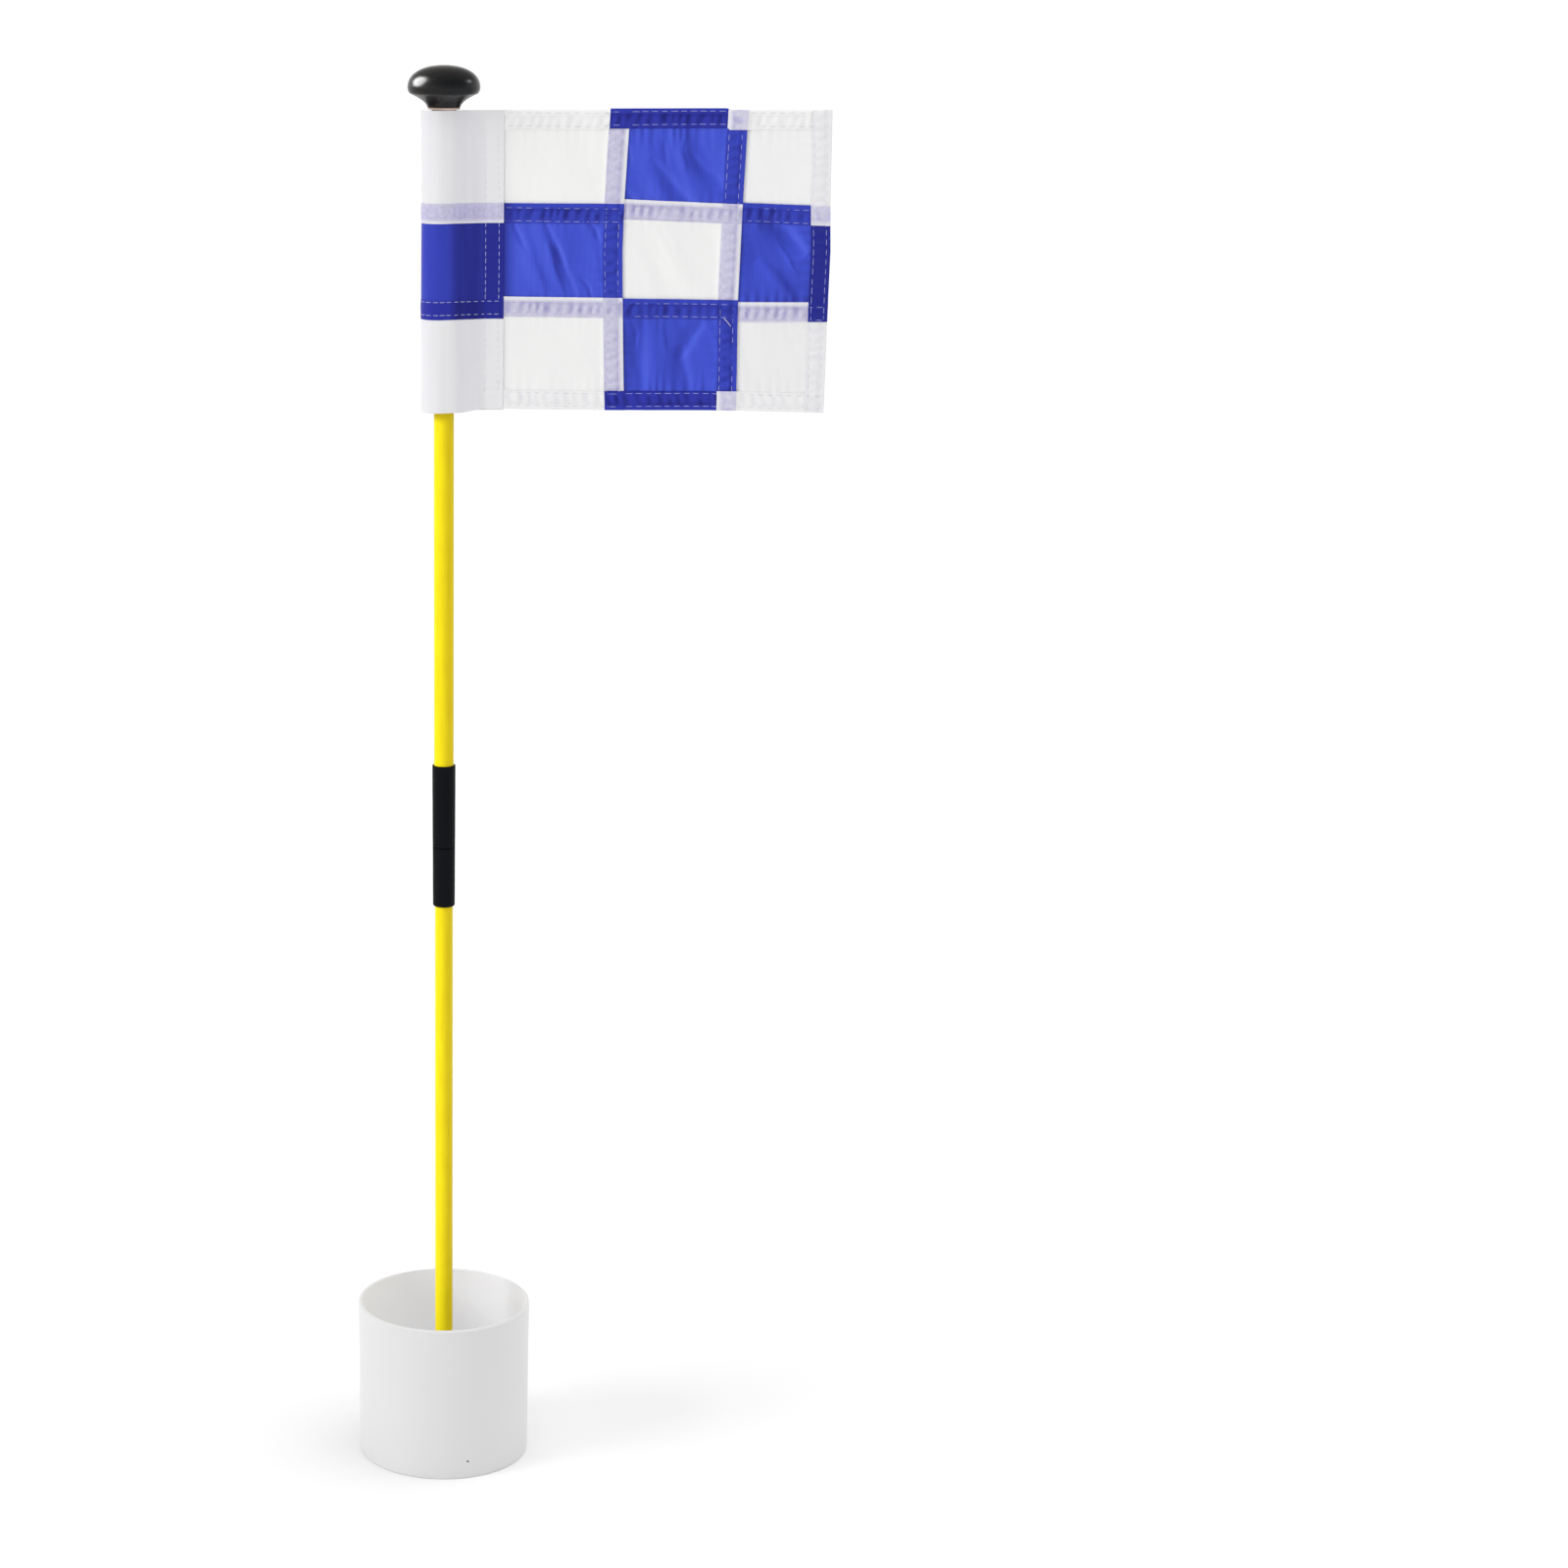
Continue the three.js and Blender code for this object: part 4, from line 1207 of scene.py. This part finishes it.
def cloth_at(x, z, face):
    """Which part of the cloth is outermost at a place on one side, with its row and column."""
    if x < LAP:
        return "sleeve", row_at(0, x, z, True), 0
    column = column_at(x, z, True)
    if face == 1:
        if x > float(column_edge(3, z)) - BAND:
            return "fly", row_at(3, x, z, True), 3
        if z > float(row_edge(0, column, x)) - BAND:
            return "top", 0, column
        if z < float(row_edge(3, column, x)) + BAND:
            return "bottom", 2, column
        column = column_at(x, z, False)
    return "panel", row_at(column, x, z, face == -1), column


def skin(x, z, face):
    """Depth of the outermost cloth at a place, towards -Y in front and +Y behind."""
    part, row, column = cloth_at(x, z, face)
    if part == "sleeve":
        pull = LAP_PULL * float(pucker(z, 53))
        bend = 0.14 * float(smoothstep(PINCH + 3, PINCH, x))
        return face * (LAP_DEPTH + SLEEVE_HALF + pull + bend)
    place = np.array(x), np.array(z), face
    if part == "panel":
        return float(layer(row, column, *place)[0])
    return float(hem_layer(row, column, part, *place)[0])


def stitch_lines():
    """Every row of stitches as a function from a distance along it to a place (x, z), with its
    start, end and pitch."""
    lines = []
    for inset in STITCH_LINES:
        for column in (1, 2):
            lines.append((lambda s, c=column, d=inset: (float(column_edge(c, s)) - d, s),
                          FLAG_BOTTOM + BAND - 0.5, FLAG_TOP - BAND + 1, SEAM_PITCH))
        lines.append((lambda s, d=inset: (float(column_edge(3, s)) - d + 0.4, s),
                      FLAG_BOTTOM + 1, FLAG_TOP - 1, SEAM_PITCH))
        levels = ((0, FLAG_TOP, 1.0 - inset), (1, ROW_FOLD[1], -inset), (2, ROW_FOLD[2], -inset),
                  (3, FLAG_BOTTOM, inset - 0.5))
        for row, height, offset in levels:
            for column in (1, 2, 3):
                start, end = (float(column_edge(c, height)) for c in (column - 1, column))
                lines.append((lambda s, r=row, c=column, d=offset:
                              (s, float(row_edge(r, c, s)) + d + 0.2 * math.sin(s / 19)),
                              start + 0.4, end - 0.4, SEAM_PITCH))
    for x in SLEEVE_STITCHES:
        lines.append((lambda s, x=x: (x + 0.25 * math.sin(s / 23), s),
                      FLAG_BOTTOM + 3, FLAG_TOP - 1, SLEEVE_PITCH))
    return lines


def thread_template(rings=7, sides=6):
    """One stitch, 1 long, lying along X: a bow of thread whose ends dive into the cloth."""
    points, faces = [], []
    for k in range(rings):
        share = k / (rings - 1)
        radius = THREAD_RADIUS * (0.35 + 0.65 * math.sin(math.pi * min(max(share, 0.04), 0.96)) ** 0.5)
        bow = 0.16 * math.sin(math.pi * share) - 0.14
        for i in range(sides):
            angle = 2 * math.pi * i / sides
            points.append((share - 0.5, radius * math.cos(angle), radius * math.sin(angle) + bow))
    for k in range(rings - 1):
        for i in range(sides):
            j = (i + 1) % sides
            faces.append((k * sides + i, (k + 1) * sides + i, (k + 1) * sides + j, k * sides + j))
    faces.append(tuple(range(sides)))
    faces.append(tuple(range(rings * sides - 1, (rings - 1) * sides - 1, -1)))
    return np.array(points), faces


def stitch_frames():
    """Middle, length, direction and outward normal of the stitches on both sides of the flag."""
    frames = []
    for number, (place, start, end, pitch) in enumerate(stitch_lines()):
        for face in (1, -1):
            shift = pitch / 2 if face == -1 else 0
            count = int((end - start - shift) / pitch)
            for i in range(count):
                length = pitch * STITCH_SHARE * (1 + 0.15 * float(noise(i * 2.3, number, 62)))
                s = start + shift + (i + 0.5) * pitch + 0.3 * float(noise(i * 1.7, number, 61))
                ends = []
                for t in (s - length * 0.4, s + length * 0.4):
                    x, z = place(t)
                    ends.append(Vector((x, -skin(x, z, face), z)))
                along = (ends[1] - ends[0]).normalized()
                outward = Vector((0, -face, 0))
                outward = (outward - along * outward.dot(along)).normalized()
                frames.append(((ends[0] + ends[1]) / 2, length, along, outward))
    return frames


def sleeve_row_stitches():
    """The row seams' stitches where they run round the sleeve."""
    frames = []
    places, px, py, nx, ny = sleeve_path()
    for row in (1, 2):
        for inset in STITCH_LINES:
            z = ROW_FOLD[row] - BAND + inset
            s = SLEEVE_PITCH
            while s < places[-1] - SLEEVE_PITCH:
                x, y = np.interp(s, places, px), np.interp(s, places, py)
                ox, oy = np.interp(s, places, nx), np.interp(s, places, ny)
                upper = row - 1
                grid = [np.array(v, float) for v in (x, y, ox, oy)]
                point, _ = sleeve_surface(upper, *grid, np.array(float(z)), 1, SLEEVE_HALF)
                outward = Vector((ox, oy, 0)).normalized()
                along = Vector((0, 0, 1)).cross(outward)
                frames.append((Vector(point), SLEEVE_PITCH * STITCH_SHARE, along, outward))
                s += SLEEVE_PITCH
    return frames


def make_stitching():
    template, template_faces = thread_template()
    vertices, faces, sunk = [], [], []
    for middle, length, along, outward in stitch_frames() + sleeve_row_stitches():
        axes = np.array([along, outward.cross(along), outward])
        base = len(vertices) * len(template)
        vertices.append(template * (length, 1, 1) @ axes + np.array(middle))
        faces += [tuple(base + i for i in face) for face in template_faces]
        part, *patch = cloth_at(middle[0], middle[2], -1 if outward.y > 0 else 1)
        depth = 0.3 if part == "sleeve" else 0.9
        sunk += [depth * (colour_of(*patch) == "blue")] * len(template)
    piece = new_piece("flag_stitching", np.concatenate(vertices), faces, THREAD)
    piece.data.attributes.new("sunk", "FLOAT", "POINT").data.foreach_set("value", sunk)
    return stand_in(piece, "flag", "flag_white")


def make_thread_tail():
    """A loose end of thread left where two seams cross."""
    knots = [(165.6, 718.6, 0.15), (166.9, 717.4, 0.55), (168.4, 715.7, 0.7), (169.8, 713.8, 0.45)]
    curve = bpy.data.curves.new("thread_tail", "CURVE")
    curve.dimensions = "3D"
    curve.bevel_depth = 0.2 * MM
    curve.use_fill_caps = True
    spline = curve.splines.new("NURBS")
    spline.points.add(len(knots) - 1)
    for point, (x, z, lift) in zip(spline.points, knots):
        point.co = (x * MM, -(skin(x, z, 1) + lift) * MM, z * MM, 1)
    spline.use_endpoint_u = True
    spline.order_u = 4
    curve.materials.append(THREAD)
    tail = bpy.data.objects.new("thread_tail", curve)
    bpy.context.scene.collection.objects.link(tail)
    return stand_in(tail, "flag", "flag_white")


def make_flag():
    pieces = [make_sleeve(row) for row in range(3)]
    pieces += [make_patch(row, column) for row in range(3) for column in (1, 2, 3)]
    make_stitching()
    make_thread_tail()


make_flag()

# ------------------------------------------------------------------ floor, light and camera


def make_floor():
    size = 40 / MM
    corners = [(-size, -size, -0.1), (size, -size, -0.1), (size, size, -0.1), (-size, size, -0.1)]
    shader = Shader("pale_floor", (0.93, 0.93, 0.93), 0.9, Specular_IOR_Level=0.05)
    tone = shader.grain((0.7, 0.7, 0.7), 3.0)
    shader.finish(shader.mix(shader.spread(tone), (0.92, 0.92, 0.92), (0.94, 0.94, 0.94)))
    floor = new_piece("floor", corners, [(0, 1, 2, 3)], shader.material)


def add_light(name, kind, place, target, energy, **settings):
    light = bpy.data.lights.new(name, kind)
    light.energy = energy
    for key, value in settings.items():
        setattr(light, key, value)
    lamp = bpy.data.objects.new(name, light)
    lamp.location = place
    lamp.rotation_euler = (Vector(target) - Vector(place)).to_track_quat("-Z", "Y").to_euler()
    bpy.context.scene.collection.objects.link(lamp)
    return lamp


WORLD_LIGHT = 1.2
# In front at the right the room is darker, which shades the right side of round parts: the cosine
# from that direction where it starts and where it is full, and what is left of the light.
DIM_SIDE = (0.55, -0.835, 0)
DIM_FROM, DIM_FULL, DIM_LEFT = 0.35, 0.95, 0.45
# Overhead the room is darker too, so that gloss reflects a dark ceiling, and a lamp that gloss
# doesn't show makes up for it: the light straight above, and the heights between which it falls.
OVERHEAD = 0.42
CEILING = (0.10, 0.55)


def make_world():
    """A white room, darker towards its ceiling and at the front right."""
    world = bpy.data.worlds.new("studio")
    world.use_nodes = True
    tree = world.node_tree

    def fade(value, start, end, first, last):
        return add_node(tree, "ShaderNodeMapRange", {
            "Value": value, "From Min": start, "From Max": end, "To Min": first, "To Max": last,
        }, interpolation_type="SMOOTHSTEP").outputs["Result"]

    direction = add_node(tree, "ShaderNodeTexCoord").outputs["Generated"]
    parts = add_node(tree, "ShaderNodeSeparateXYZ", {"Vector": direction})
    towards = add_node(tree, "ShaderNodeVectorMath", {0: direction, 1: DIM_SIDE},
                       operation="DOT_PRODUCT")
    both = add_node(tree, "ShaderNodeMath", {
        0: fade(parts.outputs["Z"], *CEILING, WORLD_LIGHT, OVERHEAD),
        1: fade(towards.outputs["Value"], DIM_FROM, DIM_FULL, 1.0, DIM_LEFT),
    }, operation="MULTIPLY")
    background = tree.nodes["Background"]
    tree.links.new(both.outputs["Value"], background.inputs["Strength"])
    background.inputs["Color"].default_value = (1, 1, 1, 1)
    bpy.context.scene.world = world


def only(name, *pieces):
    """A collection of the pieces that a lamp shines on."""
    collection = bpy.data.collections.new(name)
    for piece in pieces:
        collection.objects.link(bpy.data.objects[piece])
    return collection


def make_light():
    make_world()
    middle = (0, 0, 0.5)
    knob = (0, 0, 0.855)
    key = add_light("key", "SUN", (-2.6, -1.1, 2.0), middle, 1.0, angle=math.radians(30))
    ceiling = add_light("ceiling", "SUN", (0.35, -0.12, 1.5), middle, 1.7, angle=math.radians(80))
    for lamp in (key, ceiling):
        lamp.visible_glossy = False
    window = add_light("window", "AREA", (-1.75, 0.25, 1.8), knob, 230, shape="ELLIPSE", size=1.7,
                       size_y=1.7)
    edge = add_light("edge", "AREA", (1.6, 0.3, 1.75), knob, 5, shape="DISK", size=0.4)
    shiny = only("shiny", "knob_polished")
    for lamp in (window, edge):
        lamp.visible_diffuse = False
        lamp.light_linking.receiver_collection = shiny
    side = add_light("side", "SUN", (-1.9, -1.0, 1.9), middle, 2.2, angle=math.radians(25),
                     color=(0.80, 1.0, 0.8))
    side.visible_glossy = False
    side.light_linking.receiver_collection = only("rods", "lower_rod_coated", "upper_rod_coated")
    bpy.context.scene.view_settings.view_transform = "Standard"


# The camera was fitted to the cup's rim and foot and to the knob's top.
LENS, SENSOR, SHIFT = 81, 36, 0.2169
EYE = (0, -2.0958, 0.9415)
TILT = 13.597                 # degrees down


def make_camera():
    camera = bpy.data.cameras.new("camera")
    camera.lens = LENS
    camera.sensor_width = SENSOR
    camera.shift_x = SHIFT
    eye = bpy.data.objects.new("camera", camera)
    eye.location = EYE
    eye.rotation_euler = (math.radians(90 - TILT), 0, 0)
    bpy.context.scene.collection.objects.link(eye)
    bpy.context.scene.camera = eye


make_floor()
make_light()
make_camera()

bpy.context.view_layer.update()
